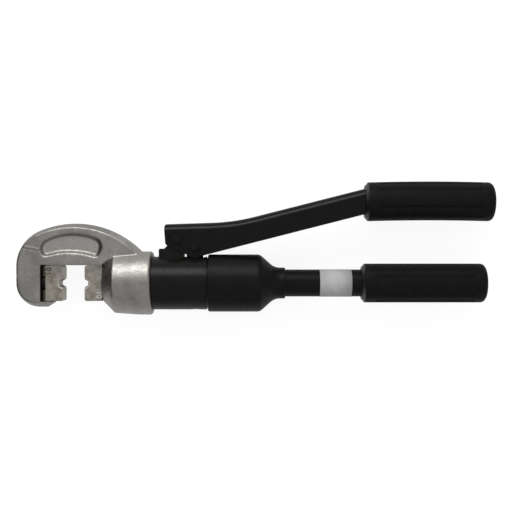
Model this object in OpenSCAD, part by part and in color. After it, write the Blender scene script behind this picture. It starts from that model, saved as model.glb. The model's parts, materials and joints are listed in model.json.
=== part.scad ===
// Hydraulic hand crimping tool: a C head with two dies, a hand pump, a lever and two grips.
// Everything is drawn along the ram axis, from the rear face of the head's collar, and then
// laid on its side: +X runs to the handles, +Y to the lever, and +Z up from the table.

/* [Head] */
// Thickness of the head across its flat cheeks
head_thick = 20; // [18:0.5:22]
// How far the forged outer wall leans in from the parting line to a cheek
head_draft = 2.8; // [1:0.1:4]
// Width of the flat land along the parting line
parting_land = 1.2; // [0.6:0.1:2]
// Height of the crown above the ram axis
crown_height = 41.6; // [40:0.1:44]
// Outer radius of the crown
crown_r = 65; // [60:0.5:70]
// How far the crown's top lies behind the middle of the throat
crown_shift = 1.5; // [0:0.1:3]
// Outer radius of the shoulder between the crown and the jaw end
shoulder_r = 26.6; // [22:0.2:30]
// Metal behind the die seat, to the end of the jaw
jaw_wall = 19.3; // [17:0.1:22]
// Thickness of the lip under the fixed die
lip_thick = 4.1; // [3:0.1:5]
// Length of the lip from the die seat wall
lip_len = 7.3; // [6:0.1:12.5]
// Thickness left at the lip's sloping tip
lip_tip = 0.3; // [0.2:0.1:1.5]
// Depth of the forged pocket in each cheek
pocket_depth = 3; // [1.5:0.1:4]
// How far the pocket's wall slopes in towards its floor
pocket_slope = 2.1; // [0.5:0.1:3]

/* [Collar] */
// Radius of the collar at its rear
collar_r = 22.1; // [21.5:0.1:24]
// Radius of the collar behind its nose cone
collar_front_r = 20.9; // [20:0.1:21.4]
// Radius of the nose where the ram comes out
nose_r = 12.6; // [12.2:0.1:14]
// Nose to the rear face of the collar
nose_reach = 34.5; // [32:0.5:38]
// Length of the nose cone
cone_len = 7; // [5:0.1:8]
// Length of the straight rear stretch of the collar
collar_straight = 9; // [5:0.5:12]
// Chamfer of the collar's rear edge
collar_edge = 1.2; // [0.6:0.1:2]

/* [Dies] */
// Height of a die
die_height = 24.6; // [22:0.2:27]
// Length of a die along the ram
die_len = 12; // [10:0.2:14]
// Thickness of a die
die_thick = 12.5; // [11:0.1:16]
// Space between the open dies
die_gap = 15.1; // [12:0.1:18]
// Width across the flats of the crimped hexagon
hex_flats = 5; // [4:0.1:9]
// Lead-in bevel round the hexagon notch
notch_bevel = 0.9; // [0.4:0.1:2.2]
// Radius of the die's shank
shank_r = 6; // [5:0.1:7]
// Length of the die's shank
shank_len = 8; // [6:0.2:10]

/* [Ram] */
// Radius of the ram's rod
rod_r = 10.5; // [9.5:0.1:11]
// Radius of the ram's piston bore
bore_r = 14.5; // [14:0.1:15]
// Length of the piston
piston_len = 12; // [10:0.2:13]
// Wire radius of the return spring
return_wire_r = 1.1; // [0.8:0.05:1.3]
// Turns of the return spring
return_turns = 4.5; // [3:0.5:5]

/* [Pump body] */
// Radius of the body
body_r = 18.5; // [18:0.1:19.5]
// Bare length of the body behind the collar
body_len = 37.5; // [36.5:0.1:42]
// Width of the groove between the body and the cover
body_groove = 1.1; // [0.6:0.1:2]
// Length of the threaded tail inside the cover
tail_len = 18.5; // [17:0.1:22]
// Radius of the threaded spigot and tail
thread_r = 17.6; // [17.3:0.1:17.9]
// Depth of the ram's bore behind the collar
bore_depth = 20; // [18.5:0.1:20.5]
// Thickness of the lever lug
lug_thick = 10.2; // [8:0.1:12]
// Radius of the lug round the pivot pin
lug_r = 6.2; // [5.5:0.1:6.4]
// Height of the lug's front shoulder above the top of the body
shoulder_rise = 5.5; // [4:0.1:6]
// Fillet between the lug and its front shoulder
lug_fillet = 2.1; // [1:0.1:3]

/* [Lever] */
// Radius of both lever pins
pin_r = 3; // [2.5:0.1:3.4]
// Pivot pin to the collar's rear face
pivot_x = 16.8; // [16:0.1:17.5]
// Pivot pin above the top of the body
pivot_rise = 11.9; // [11.4:0.1:13]
// Plunger pin behind the pivot pin
crank_x = 12.5; // [12:0.1:14]
// Plunger pin below the pivot pin
crank_drop = 5.3; // [5:0.1:5.8]
// Radius of the lever's cheeks round the plunger pin
cheek_r = 7; // [6.2:0.1:7.2]
// Sheet thickness of the lever
sheet = 2.2; // [1.5:0.1:2.6]
// Outer bend radius between the lever's web and its cheeks
sheet_bend = 3.6; // [2.8:0.1:5]
// Web of the lever above the pivot pin
web_rise = 10.95; // [10.4:0.05:12]
// Slope of the web over the pins, in degrees
web_tilt = 1.8; // [0:0.1:4]
// Slope of the arm, in degrees
arm_tilt = 14.3; // [12:0.1:17]
// Pivot pin to the corner of the web and the arm
corner_run = 39.6; // [36:0.2:44]
// Radius of that bend
bend_r = 140; // [80:5:160]
// Length of the arm between its two corners
arm_len = 95; // [85:0.5:105]
// Radius of the bend inside the grip
grip_bend_r = 30; // [25:1:50]
// Length of the lever's tang past that bend
tang_len = 52; // [30:1:60]
// Opening of the lever, in degrees
lever_swing = 40; // [20:1:40]

/* [Plunger and valves] */
// Radius of the pump plunger
plunger_r = 4.5; // [4:0.1:5]
// Metal round the slot in the plunger's eye
eye_wall = 2.4; // [1.8:0.1:2.6]
// Radius of the valve balls
ball_r = 2.4; // [2:0.1:2.5]

/* [Handle] */
// How far the reservoir cover stands out past the body
cover_proud = 1.5; // [1:0.1:2.5]
// Straight length of the cover
cover_len = 34.1; // [30:0.1:36]
// Slope of the cover's shoulder, in degrees
cover_tilt = 42; // [34:1:50]
// Radius of the cover's neck
neck_r = 10.85; // [10.6:0.05:12]
// Length of the cover's neck
neck_len = 3.6; // [3:0.1:8]
// Outer radius of the handle tube
tube_r = 9.45; // [9:0.05:9.9]
// Wall of the handle tube
tube_wall = 1.85; // [1.2:0.05:2.2]
// Length of bare tube between the cover and the grip
tube_bare = 53.2; // [45:0.2:60]

/* [Grips] */
// Radius of a grip
grip_r = 13.6; // [12.8:0.1:14.5]
// Length of the fixed grip
fixed_grip_len = 86.4; // [80:0.2:95]
// Length of the lever grip
lever_grip_len = 89.4; // [80:0.2:95]
// Rounding of a grip's front rim
grip_front_round = 1.8; // [1:0.1:2.4]
// Rounding of a grip's closed end
grip_end_round = 4.6; // [2:0.1:6]
// Places for grooves round a grip, of which those on its two parting lines stay plain
grip_grooves = 12; // [8:2:16]
// Width of a groove
groove_w = 2.2; // [1:0.1:3]
// Depth of a groove
groove_depth = 0.6; // [0.3:0.05:0.9]
// Plain band in front of the grooves
front_band = 9; // [6:0.5:12]
// Plain band behind the grooves
end_band = 7.5; // [6:0.5:12]

/* [Clearances] */
// Radial clearance of a running fit
run_gap = 0.05; // [0.02:0.01:0.1]
// Radial clearance of a fixed fit
fit_gap = 0.03; // [0.01:0.01:0.05]
// Play between flat neighbours
side_gap = 0.2; // [0.1:0.05:0.3]

/* [Hidden] */
$fn = 96;

// Length by which a cut runs past what it cuts, and one that clears the whole head
overrun = 2;
beyond = 2 * crown_r;
// Stretches that meet end to end lap into each other, the inner one drawn in by a hair
lap = 0.6;
lap_step = 0.02;
lap_angle = 12;

// Colours
forged_grey = [0.62, 0.62, 0.60];
tool_steel = [0.52, 0.52, 0.50];
bright_steel = [0.75, 0.75, 0.76];
black_steel = [0.09, 0.09, 0.10];
black_paint = [0.06, 0.06, 0.06];
black_rubber = [0.05, 0.05, 0.05];
bronze = [0.72, 0.55, 0.28];
seal_rubber = [0.14, 0.14, 0.14];
white_plastic = [0.90, 0.90, 0.88];

// Dies: ram out of the nose, play round a die, land behind the fixed die, corners, ledge, shank groove
ram_proud = 0.4;
die_play = 0.2;
seat_gap = 2.6;
land_w = 8;
die_chamfer = 0.9;
notch_ledge = 0.25;
shank_groove = 0.7;
shank_groove_w = 4.4;
die_shut_gap = 0.3;
ram_front_x = -(nose_reach + ram_proud);
moving_face_x = ram_front_x - die_len;
fixed_face_x = moving_face_x - die_gap;
fixed_back_x = fixed_face_x - die_len;
shank_end_x = fixed_back_x - shank_len;
seat_x = fixed_back_x - seat_gap;
hex_r = hex_flats / sqrt(3);
ram_stroke = die_gap - die_shut_gap;

// Outline of the head: the shoulder circle touches the crown circle from inside
jaw_end_x = seat_x - jaw_wall;
throat_y = die_height / 2 + die_play;
jaw_r = throat_y + lip_thick;
lip_chamfer = lip_thick - lip_tip;
jaw_c = [jaw_end_x + jaw_r, 0];
lip_x = seat_x + lip_len;
half_head = head_thick / 2;
crown_c = [(seat_x - nose_reach) / 2 + crown_shift, crown_height - crown_r];
shoulder_dx = jaw_end_x + lap_step + shoulder_r - crown_c.x;
shoulder_dy = sqrt(pow(crown_r - shoulder_r - lap_step, 2) - pow(shoulder_dx, 2));
shoulder_c = crown_c + [shoulder_dx, shoulder_dy];
shoulder_angle = atan2(shoulder_dy, shoulder_dx);
// The crown runs on into the collar down to this share of the collar's radius
crown_bury_share = 0.86;
crown_angle = asin((collar_r * crown_bury_share - crown_c.y) / crown_r);
crown_end_x = crown_c.x + crown_r * cos(crown_angle);
rim_lean = head_draft / (half_head - parting_land / 2);
// Length and rise of the arch's underside where it meets the nose cone
arch_root_run = 6.5;
arch_root_rise = 5;

// Pocket: rim above it, sill below it, radii of top, ends and lower edge, offsets, corners at the floor
pocket_rim = 6.8;
pocket_sill = 8.2;
pocket_top_r = 43;
pocket_end_r = 23.3;
pocket_low_r = 54.8;
pocket_end_drop = 2.8;
pocket_shift = 0.5;
pocket_end_shift = 2.1;
pocket_low_shift = 3;
floor_top_round = 5;
floor_low_round = 1.1;
pocket_top_round = floor_top_round + pocket_slope;
pocket_low_round = floor_low_round + pocket_slope;
pocket_top_y = crown_height - pocket_rim;
pocket_top_c = [crown_c.x - pocket_shift, pocket_top_y - pocket_top_r];
pocket_end_c = [crown_c.x - pocket_end_shift, pocket_top_y - pocket_end_drop];
pocket_low_c = [crown_c.x - pocket_low_shift, throat_y + pocket_sill - pocket_low_r];

// Screw behind the fixed die, with its recess in the jaw end
screw_r = 2.5;
screw_bite = 5.5;
screw_head_r = 4.25;
screw_head_h = 5;
screw_play = 0.3;
socket_r = 2.3;
socket_depth = 2.6;
screw_recess = 7.5;
screw_seat_x = jaw_end_x + screw_recess;

// Grub screws that lock the head on the body, and the moving die in the ram
grub_r = 2;
grub_sink = 0.6;
grub_socket_r = 1.2;
grub_socket_depth = 2;
lock_setback = 7;
lock_bite = 0.6;
die_grub_x = ram_front_x + shank_len / 2;

// Head collar inside: lip in front of the bush, wall of the bush, room for the body's spigot
nose_lip = 2;
nose_play = 0.3;
bush_wall = 1.5;
spigot_room = 21;
bush_r = rod_r + run_gap + bush_wall;

// Ram: stop behind the piston, packing groove, spring
piston_stop = 0.5;
piston_back_x = bore_depth - piston_stop;
piston_front_x = piston_back_x - piston_len;
piston_r = bore_r - run_gap;
packing_from = 3.4;
packing_depth = 2.3;
seal_w = 2.8;
backup_w = 1.2;
packing_x = piston_front_x + packing_from;
packing_r = bore_r - packing_depth;
packing_w = seal_w + backup_w + side_gap;
spring_end_gap = 0.1;
return_coil_r = (rod_r + bore_r) / 2;

// Body: its ends, the lug and the pins
spigot_len = spigot_room - side_gap;
tail_end_x = body_len + tail_len;
pivot = [pivot_x, body_r + pivot_rise];
crank_pin = pivot + [crank_x, -crank_drop];
lug_foot = 12.5;
lug_back = 4.9;
lug_edge = 0.7;
lug_top_y = body_r + shoulder_rise;

// Plunger: the pin swings sideways by pin_drift as the lever opens, inside the eye's slot
slot_play = 0.2;
crank_angle = atan2(crank_drop, crank_x);
crank_reach = norm([crank_x, crank_drop]);
nearest_angle = max(crank_angle - lever_swing, 0);
farthest_angle = max(crank_angle, lever_swing - crank_angle);
pin_drift = crank_reach * (cos(nearest_angle) - cos(farthest_angle));
plunger_x = crank_pin.x + pin_drift / 2;
slot_r = pin_r + slot_play;
eye_r = slot_r + eye_wall;
gland_sink = 1.3;
gland_h = 4.5;
gland_r = 7.4;
gland_hole_r = 0.8;
gland_hole_at_share = 0.82;
packing_h = 3;
packing_out_r = 7;
pump_depth = 23;
tip_room = 3.5;
gland_top_y = body_r - gland_sink;
gland_low_y = gland_top_y - gland_h;
packing_low_y = gland_low_y - packing_h;
chamber_y = gland_top_y - pump_depth;
plunger_tip_y = chamber_y + tip_room;

// Valves: ports, rooms, plugs and springs
port_r = 1.4;
relief_port_r = 1;
valve_gap = 0.03;
room_share = 1.25;
room_r = ball_r * room_share;
plug_r = 3.9;
plug_len = 5.5;
plug_sink = 0.5;
ball_drop = sqrt(pow(ball_r, 2) - pow(port_r, 2)) + valve_gap;
coil_r = 1.75;
wire_r = 0.25;
relief_wire_r = 0.35;
// Outlet, upright below the plunger
outlet_seat_len = 2;
outlet_plug_len = 2.8;
outlet_sink = 0.9;
outlet_turns = 1.5;
outlet_seat_y = chamber_y - outlet_seat_len;
outlet_ball_y = outlet_seat_y - ball_drop;
outlet_low_y = outlet_ball_y - ball_r;
outlet_plug_y = -(body_r - outlet_sink - outlet_plug_len);
// Intake, along the body from the tail
intake_room = 9;
intake_turns = 3;
intake_seat_x = tail_end_x - plug_sink - plug_len;
intake_room_x = intake_seat_x - intake_room;
intake_ball_x = intake_seat_x - ball_drop;
intake_y = chamber_y + port_r + side_gap;
// Relief, along the body to one side of the plunger
relief_room = 10;
relief_turns = 4;
relief_at = [6, 9];
poppet_tip_r = 0.4;
poppet_body = 2;
poppet_stem_r = 1.1;
poppet_stem = 2;
relief_screw_x = tail_end_x - plug_sink - plug_len;
relief_seat_x = relief_screw_x - relief_room;
poppet_back_x = relief_seat_x + valve_gap + (ball_r - relief_port_r) + poppet_body;
slot_w = 1;
slot_depth = 1.2;

// Cover, bladder, tube and plug
cover_r = body_r + cover_proud;
cover_x = body_len + body_groove;
cover_edge = 0.6;
slope_x = cover_x + cover_len;
cover_turn_r = 5;
neck_turn_r = 10;
slope_rest = cover_r - neck_r - (cover_turn_r + neck_turn_r) * (1 - cos(cover_tilt));
slope_from = [cover_r - cover_turn_r * (1 - cos(cover_tilt)), slope_x + cover_turn_r * sin(cover_tilt)];
slope_to = slope_from + [-slope_rest, slope_rest / tan(cover_tilt)];
neck_x = slope_to.y + neck_turn_r * sin(cover_tilt);
neck_end_x = neck_x + neck_len;
flange_w = 1.5;
flange_sink = 0.7;
ring_len = 3.4;
step_x = tail_end_x + flange_w + ring_len + spring_end_gap;
cavity_r = 15.3;
tube_seat_back = 11.2;
tube_x = neck_end_x - tube_seat_back;
grip_x = neck_end_x + tube_bare;
grip_end_x = grip_x + fixed_grip_len;
grip_cap = 4.8;
tube_end_x = grip_end_x - grip_cap;
tube_in_r = tube_r - tube_wall;
plug_in = 10;
plug_cap = 1.8;
bladder_wall = 1.2;
bladder_neck_r = 13.2;
bladder_neck = 9;
bladder_play = 0.4;
bladder_len = 120;
flange_r = thread_r - flange_sink;
bladder_r = tube_in_r - bladder_play;
bladder_end_x = tube_x + bladder_len;

// Lever: directions of web and arm, corners, bends and depth
lever_w = lug_thick + 2 * side_gap + 2 * sheet;
web_dir = [cos(web_tilt), sin(web_tilt)];
web_up = [-sin(web_tilt), cos(web_tilt)];
arm_dir = [cos(arm_tilt), sin(arm_tilt)];
arm_up = [-sin(arm_tilt), cos(arm_tilt)];
corner = pivot + [corner_run, web_rise + corner_run * tan(web_tilt)];
bend_cut = bend_r * tan((arm_tilt - web_tilt) / 2);
bend_from = corner - bend_cut * web_dir;
bend_to = corner + bend_cut * arm_dir;
bend_c = bend_from + bend_r * web_up;
arm_depth = arm_up * (corner - crank_pin) + cheek_r;
grip_corner = corner + arm_len * arm_dir;
grip_bend_cut = grip_bend_r * tan(arm_tilt / 2);
grip_bend_from = grip_corner - grip_bend_cut * arm_dir;
grip_bend_c = grip_bend_from - grip_bend_r * arm_up;
tang_from = grip_bend_c + [0, grip_bend_r];
cheek_depth = web_rise + crank_drop + cheek_r + overrun;
front_top = 8.6;
front_low = 7.8;
front_corner = 1.1;
front_drop = 4.25;
front_round = 2;
front_c = pivot + [front_round - front_low, front_round - front_drop];

// Lever grip: its mouth lies just before the arm's last corner
mouth_before = 0.5;
lever_grip_x = grip_corner.x - mouth_before;
lever_grip_y = tang_from.y - arm_depth / 2;
lever_grip_end_x = lever_grip_x + lever_grip_len;
arm_low_at_mouth = corner.y + (lever_grip_x - corner.x) * tan(arm_tilt) - arm_depth / cos(arm_tilt);
mouth_reach = lever_grip_y - arm_low_at_mouth + side_gap;

// Circlips
clip_thick = 1;
clip_r = 4.3;
clip_groove = 0.5;
clip_side = 0.2;
pin_end = 0.9;
pin_edge = 0.4;
ear_r = 1.25;
ear_hole_r = 0.5;
ear_at = 4.2;
ear_angle = 24;
clip_gap_angle = 11;
pivot_clip_turn = 135;
crank_clip_turn = -45;
clip_z = lever_w / 2 + clip_side;
pin_half = clip_z + clip_thick + pin_end;

// The tool lies on its collar, with its origin under the middle of its outer box
mid_x = (jaw_end_x + lever_grip_end_x) / 2;
mid_y = (lever_grip_y + grip_r - collar_r) / 2;

// Rings along a coil's turn, and sides of its wire
coil_rings = 8;
wire_sides = 6;

// Least gap between neighbouring turns, from points one turn apart
function coil_gap(wire, length, turns) = (length - 2 * wire) / turns - 2 * wire;
echo(return_gap = coil_gap(return_wire_r, piston_front_x + spigot_room - 2 * spring_end_gap, return_turns));
echo(outlet_gap = coil_gap(wire_r, outlet_low_y - outlet_plug_y - 2 * spring_end_gap, outlet_turns));
echo(intake_gap = coil_gap(wire_r, intake_ball_x - ball_r - intake_room_x - 2 * spring_end_gap, intake_turns));
echo(relief_gap = coil_gap(relief_wire_r, relief_screw_x - poppet_back_x - 2 * spring_end_gap, relief_turns));

// Unit vector to both touch points of the lower tangent of two circles
function tangent_dir(a, ra, b, rb) =
    let (d = norm(b - a), u = (b - a) / d, c = (ra - rb) / d, s = sqrt(1 - c * c))
    [u.x * c + u.y * s, u.y * c - u.x * s];

function unit(v) = v / norm(v);

// Point where two circles meet, on one side of the line between their centres
function meeting(a, ra, b, rb, side) =
    let (d = norm(b - a), u = (b - a) / d, x = (d * d + ra * ra - rb * rb) / (2 * d))
    a + x * u + side * sqrt(ra * ra - x * x) * [-u.y, u.x];

module laid() {
    translate([-mid_x, -mid_y, collar_r]) children();
}

// Round bar along X between two stations
module bar(x0, x1, r) {
    translate([x0, 0, 0]) rotate([0, 90, 0]) cylinder(h = x1 - x0, r = r);
}

// Round bar along Y between two heights
module post(x, y0, y1, r) {
    translate([x, y0, 0]) rotate([-90, 0, 0]) cylinder(h = y1 - y0, r = r);
}

// Revolve of a radius and station outline about the ram axis
module turned() {
    rotate([0, 90, 0]) rotate_extrude() children();
}

// Ring along X
module ring(x0, x1, r_in, r_out) {
    difference() {
        bar(x0, x1, r_out);
        bar(x0 - overrun, x1 + overrun, r_in);
    }
}

// Coil of round wire along +Z from zero, with its wire inside the given length
module coil(r, wire, length, turns) {
    rings = ceil(turns * coil_rings);
    rise = length - 2 * wire;
    points = [for (i = [0 : rings], j = [0 : wire_sides - 1])
        let (a = turns * 360 * i / rings, f = 360 * j / wire_sides, d = r + wire * cos(f))
        [d * cos(a), d * sin(a), wire + rise * i / rings + wire * sin(f)]];
    function at(i, j) = i * wire_sides + j % wire_sides;
    walls = [for (i = [0 : rings - 1], j = [0 : wire_sides - 1], f = [0, 1])
        f == 0 ? [at(i, j), at(i + 1, j + 1), at(i + 1, j)] : [at(i, j), at(i, j + 1), at(i + 1, j + 1)]];
    first = [for (j = [0 : wire_sides - 1]) at(0, wire_sides - 1 - j)];
    last = [for (j = [0 : wire_sides - 1]) at(rings, j)];
    polyhedron(points, concat(walls, [first, last]));
}

// Head

// Edge of the rim as a cutting outline: the land at zero, leaning in to both cheeks, open outwards
module rim_cut() {
    high = half_head + overrun;
    lean = head_draft + rim_lean * overrun;
    polygon([
        [-lean, high], [0, parting_land / 2], [0, -parting_land / 2], [-lean, -high],
        [beyond, -high], [beyond, high]
    ]);
}

// Cuts the drafted rim round a centre, between two angles
module rim_arc(c, r, from, to) {
    translate([c.x, c.y, 0]) rotate([0, 0, from]) rotate_extrude(angle = to - from)
        translate([r, 0]) rim_cut();
}

// Cuts the drafted rim along a straight edge at a distance from the origin, facing an angle
module rim_line(edge, facing) {
    rotate([90, 0, facing]) linear_extrude(2 * beyond, center = true) translate([edge, 0]) rim_cut();
}

// Space for the dies, open below, with a land behind the fixed die and the sloping root of the arch
module throat() {
    root = [-nose_reach + arch_root_run, throat_y + arch_root_rise];
    linear_extrude(head_thick + 2 * overrun, center = true) polygon([
        [fixed_back_x, throat_y], [-nose_reach, throat_y], root, [overrun, root.y], [overrun, -beyond],
        [lip_x, -beyond], [lip_x, lip_chamfer - jaw_r], [lip_x, -throat_y], [fixed_back_x, -throat_y]
    ]);
    for (side = [0, 1]) mirror([0, 0, side]) translate([0, 0, land_w / 2]) linear_extrude(head_thick) polygon([
        [seat_x, -throat_y], [fixed_back_x + lap, -throat_y], [fixed_back_x + lap, throat_y], [seat_x, throat_y]
    ]);
    linear_extrude(head_thick + 2 * overrun, center = true) polygon([
        [lip_x - lip_chamfer, -jaw_r], [lip_x, lip_chamfer - jaw_r], [lip_x + overrun, lip_chamfer - jaw_r],
        [lip_x + overrun, -beyond], [lip_x - lip_chamfer, -beyond]
    ]);
}

// Cone about a centre, square on the upper cheek, leaning in by lean at the pocket's floor
module pocket_cone(c, r, lean, below) {
    depth = pocket_depth + below;
    translate([c.x, c.y, half_head - depth]) cylinder(
        h = depth + overrun, r1 = r - lean * depth / pocket_depth, r2 = r + lean * overrun / pocket_depth
    );
}

// What a rounded corner takes off the pocket, between its end circle and another one
module pocket_corner(c, other_c, facing, round) {
    end = unit(c - pocket_end_c);
    other = facing * unit(c - other_c);
    difference() {
        translate([0, 0, half_head - pocket_depth - overrun]) linear_extrude(pocket_depth + 2 * overrun)
            polygon([c, c + beyond * end, c + beyond * (end + other), c + beyond * other]);
        pocket_cone(c, round - lap_step, pocket_slope, lap);
    }
}

module pocket() {
    end_r = pocket_end_r - pocket_top_round;
    low_end_r = pocket_end_r - pocket_low_round;
    difference() {
        intersection() {
            pocket_cone(pocket_top_c, pocket_top_r, pocket_slope, 0);
            pocket_cone(pocket_end_c, pocket_end_r, pocket_slope, 0);
        }
        pocket_cone(pocket_low_c, pocket_low_r, -pocket_slope, overrun);
        for (side = [-1, 1]) {
            pocket_corner(
                meeting(pocket_end_c, end_r, pocket_top_c, pocket_top_r - pocket_top_round, side),
                pocket_top_c, 1, pocket_top_round
            );
            pocket_corner(
                meeting(pocket_end_c, low_end_r, pocket_low_c, pocket_low_r + pocket_low_round, side),
                pocket_low_c, -1, pocket_low_round
            );
        }
    }
}

module collar() {
    cone_r = nose_r + cone_len;
    turned() polygon([
        [0, -nose_reach], [nose_r, -nose_reach], [cone_r, cone_len - nose_reach],
        [collar_front_r, cone_len + collar_front_r - cone_r - nose_reach], [collar_r, -collar_straight],
        [collar_r, -collar_edge], [collar_r - collar_edge, 0], [0, 0]
    ]);
}

module c_head() {
    color(forged_grey) difference() {
        union() {
            difference() {
                translate([jaw_end_x - overrun, -jaw_r - overrun, -half_head])
                    cube([crown_end_x - jaw_end_x + overrun, crown_height + jaw_r + 2 * overrun, head_thick]);
                rim_arc(crown_c, crown_r, crown_angle - lap_angle, shoulder_angle + lap_angle);
                rim_arc(shoulder_c, shoulder_r, shoulder_angle, 180);
                rim_line(-jaw_end_x, 180);
                rim_arc(jaw_c, jaw_r - lap_step, 180, 270);
                rim_line(jaw_r, 270);
                throat();
            }
            collar();
        }
        pocket();
        mirror([0, 0, 1]) pocket();
        bar(-nose_reach - overrun, overrun, rod_r + nose_play);
        bar(nose_lip - nose_reach, overrun, bush_r + fit_gap);
        bar(-spigot_room, overrun, thread_r + fit_gap);
        bar(shank_end_x, fixed_back_x + overrun, shank_r + fit_gap);
        bar(jaw_end_x, shank_end_x + overrun, screw_r + screw_play);
        bar(jaw_end_x - overrun, screw_seat_x, screw_head_r + screw_play);
        post(-lock_setback, -collar_r - overrun, 0, grub_r + fit_gap);
    }
}

// Grub screw along Y, from its tip up or down to its socket end
module grub(x, tip_y, end_y) {
    difference() {
        post(x, end_y, tip_y, grub_r);
        translate([x, end_y - overrun, 0]) rotate([-90, 0, 0])
            cylinder(h = grub_socket_depth + overrun, r = grub_socket_r, $fn = 6);
    }
}

module head_lock_screw() {
    color(black_steel) grub(-lock_setback, lock_bite - fit_gap - thread_r, grub_sink - collar_r);
}

// Die half with its face at zero, its back and shank towards +X, notched round the middle of the shut dies
module die_half() {
    half_h = die_height / 2;
    rim_r = hex_r + notch_ledge;
    difference() {
        union() {
            linear_extrude(die_thick, center = true) polygon([
                [0, die_chamfer - half_h], [0, half_h - die_chamfer], [die_chamfer, half_h],
                [die_len, half_h], [die_len, -half_h], [die_chamfer, -half_h]
            ]);
            bar(die_len - lap, die_len + shank_len, shank_r);
        }
        translate([-die_shut_gap / 2, 0, 0]) {
            rotate([0, 0, 30]) cylinder(h = die_thick + 2 * overrun, r = hex_r, center = true, $fn = 6);
            for (side = [0, 1]) mirror([0, 0, side]) translate([0, 0, die_thick / 2 - notch_bevel])
                cylinder(h = notch_bevel + overrun, r1 = rim_r, r2 = rim_r + notch_bevel + overrun);
        }
        translate([die_len + (shank_len - shank_groove_w) / 2, 0, 0])
            ring(0, shank_groove_w, shank_r - shank_groove, shank_r + overrun);
        bar(die_len + shank_len - screw_bite - overrun, die_len + shank_len + overrun, screw_r + fit_gap);
    }
}

module fixed_die() {
    color(tool_steel) translate([fixed_face_x, 0, 0]) mirror([1, 0, 0]) die_half();
}

module moving_die() {
    color(tool_steel) translate([moving_face_x, 0, 0]) die_half();
}

module fixed_die_screw() {
    head_x = screw_seat_x - screw_head_h;
    color(black_steel) difference() {
        union() {
            bar(head_x, screw_seat_x, screw_head_r);
            bar(screw_seat_x - overrun, shank_end_x + screw_bite, screw_r);
        }
        translate([head_x - overrun, 0, 0]) rotate([0, 90, 0])
            cylinder(h = socket_depth + overrun, r = socket_r, $fn = 6);
    }
}

module ram_bush() {
    color(bronze) ring(nose_lip - nose_reach, -spigot_room, rod_r + run_gap, bush_r);
}

// Ram

module ram() {
    color(bright_steel) difference() {
        union() {
            bar(ram_front_x, piston_back_x, rod_r);
            bar(piston_front_x, piston_back_x, piston_r);
        }
        ring(packing_x, packing_x + packing_w, packing_r, bore_r + overrun);
        bar(ram_front_x - overrun, ram_front_x + shank_len + side_gap, shank_r + fit_gap);
        post(die_grub_x, -rod_r - overrun, 0, grub_r + fit_gap);
    }
}

module moving_die_screw() {
    color(black_steel) grub(die_grub_x, shank_groove - fit_gap - shank_r, grub_sink - rod_r);
}

module ram_seal() {
    color(seal_rubber) ring(packing_x, packing_x + seal_w, packing_r + fit_gap, bore_r - fit_gap);
}

module ram_backup_ring() {
    color(white_plastic) ring(
        packing_x + packing_w - backup_w, packing_x + packing_w, packing_r + fit_gap, bore_r - fit_gap
    );
}

module return_spring() {
    color(bright_steel) translate([spring_end_gap - spigot_room, 0, 0]) rotate([0, 90, 0])
        coil(return_coil_r, return_wire_r, piston_front_x + spigot_room - 2 * spring_end_gap, return_turns);
}

// Pump body

// Side outline of the lug: an eye on a trunk, with a shoulder in front
module lug_outline() {
    front = pivot.x - lug_r;
    translate(pivot) circle(r = lug_r);
    polygon([
        [front, 0], [front, pivot.y], [pivot.x + lug_r, pivot.y], [pivot.x + lug_back, body_r],
        [pivot.x + lug_back, 0]
    ]);
    polygon([
        [pivot.x - lug_foot, 0], [pivot.x - lug_foot, lug_top_y - lug_edge],
        [pivot.x - lug_foot + lug_edge, lug_top_y], [front, lug_top_y], [front, 0]
    ]);
    difference() {
        translate([front - lug_fillet, lug_top_y]) square(lug_fillet);
        translate([front - lug_fillet, lug_top_y + lug_fillet]) circle(r = lug_fillet);
    }
}

module pump_body() {
    color(black_steel) difference() {
        union() {
            bar(-spigot_len, tail_end_x, thread_r);
            bar(0, body_len, body_r);
            linear_extrude(lug_thick, center = true) lug_outline();
        }
        bar(-spigot_len - overrun, bore_depth, bore_r);
        post(-lock_setback, -body_r, lock_bite - thread_r, grub_r + fit_gap);
        translate(pivot) cylinder(h = lug_thick + 2 * overrun, r = pin_r + fit_gap, center = true);
        post(plunger_x, chamber_y, body_r + overrun, plunger_r + run_gap);
        post(plunger_x, packing_low_y, body_r + overrun, packing_out_r + fit_gap);
        post(plunger_x, gland_low_y, body_r + overrun, gland_r + fit_gap);
        outlet_bores();
        intake_bores();
        relief_bores();
    }
}

module outlet_bores() {
    post(plunger_x, outlet_seat_y - overrun, chamber_y + overrun, port_r);
    post(plunger_x, outlet_plug_y, outlet_seat_y, room_r);
    post(plunger_x, -body_r - overrun, outlet_plug_y, plug_r + fit_gap);
    translate([0, outlet_ball_y, 0]) bar(bore_depth - overrun, plunger_x, relief_port_r);
}

module intake_bores() {
    translate([0, intake_y, 0]) {
        bar(plunger_x, intake_room_x + overrun, port_r);
        bar(intake_room_x, intake_seat_x, room_r);
        bar(intake_seat_x, tail_end_x + overrun, plug_r + fit_gap);
    }
}

module relief_bores() {
    translate([0, relief_at.x, relief_at.y]) {
        bar(bore_depth - overrun, relief_seat_x + overrun, relief_port_r);
        bar(relief_seat_x, relief_screw_x, room_r);
        bar(relief_screw_x, tail_end_x + overrun, plug_r + fit_gap);
    }
}

module plunger_gland() {
    color(tool_steel) difference() {
        post(plunger_x, gland_low_y, gland_top_y, gland_r);
        post(plunger_x, gland_low_y - overrun, gland_top_y + overrun, plunger_r + run_gap);
        for (side = [-1, 1]) post(
            plunger_x + side * gland_r * gland_hole_at_share, gland_top_y - overrun,
            gland_top_y + overrun, gland_hole_r
        );
    }
}

module plunger_seal() {
    color(seal_rubber) difference() {
        post(plunger_x, packing_low_y, gland_low_y, packing_out_r);
        post(plunger_x, packing_low_y - overrun, gland_low_y + overrun, plunger_r + fit_gap);
    }
}

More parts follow.
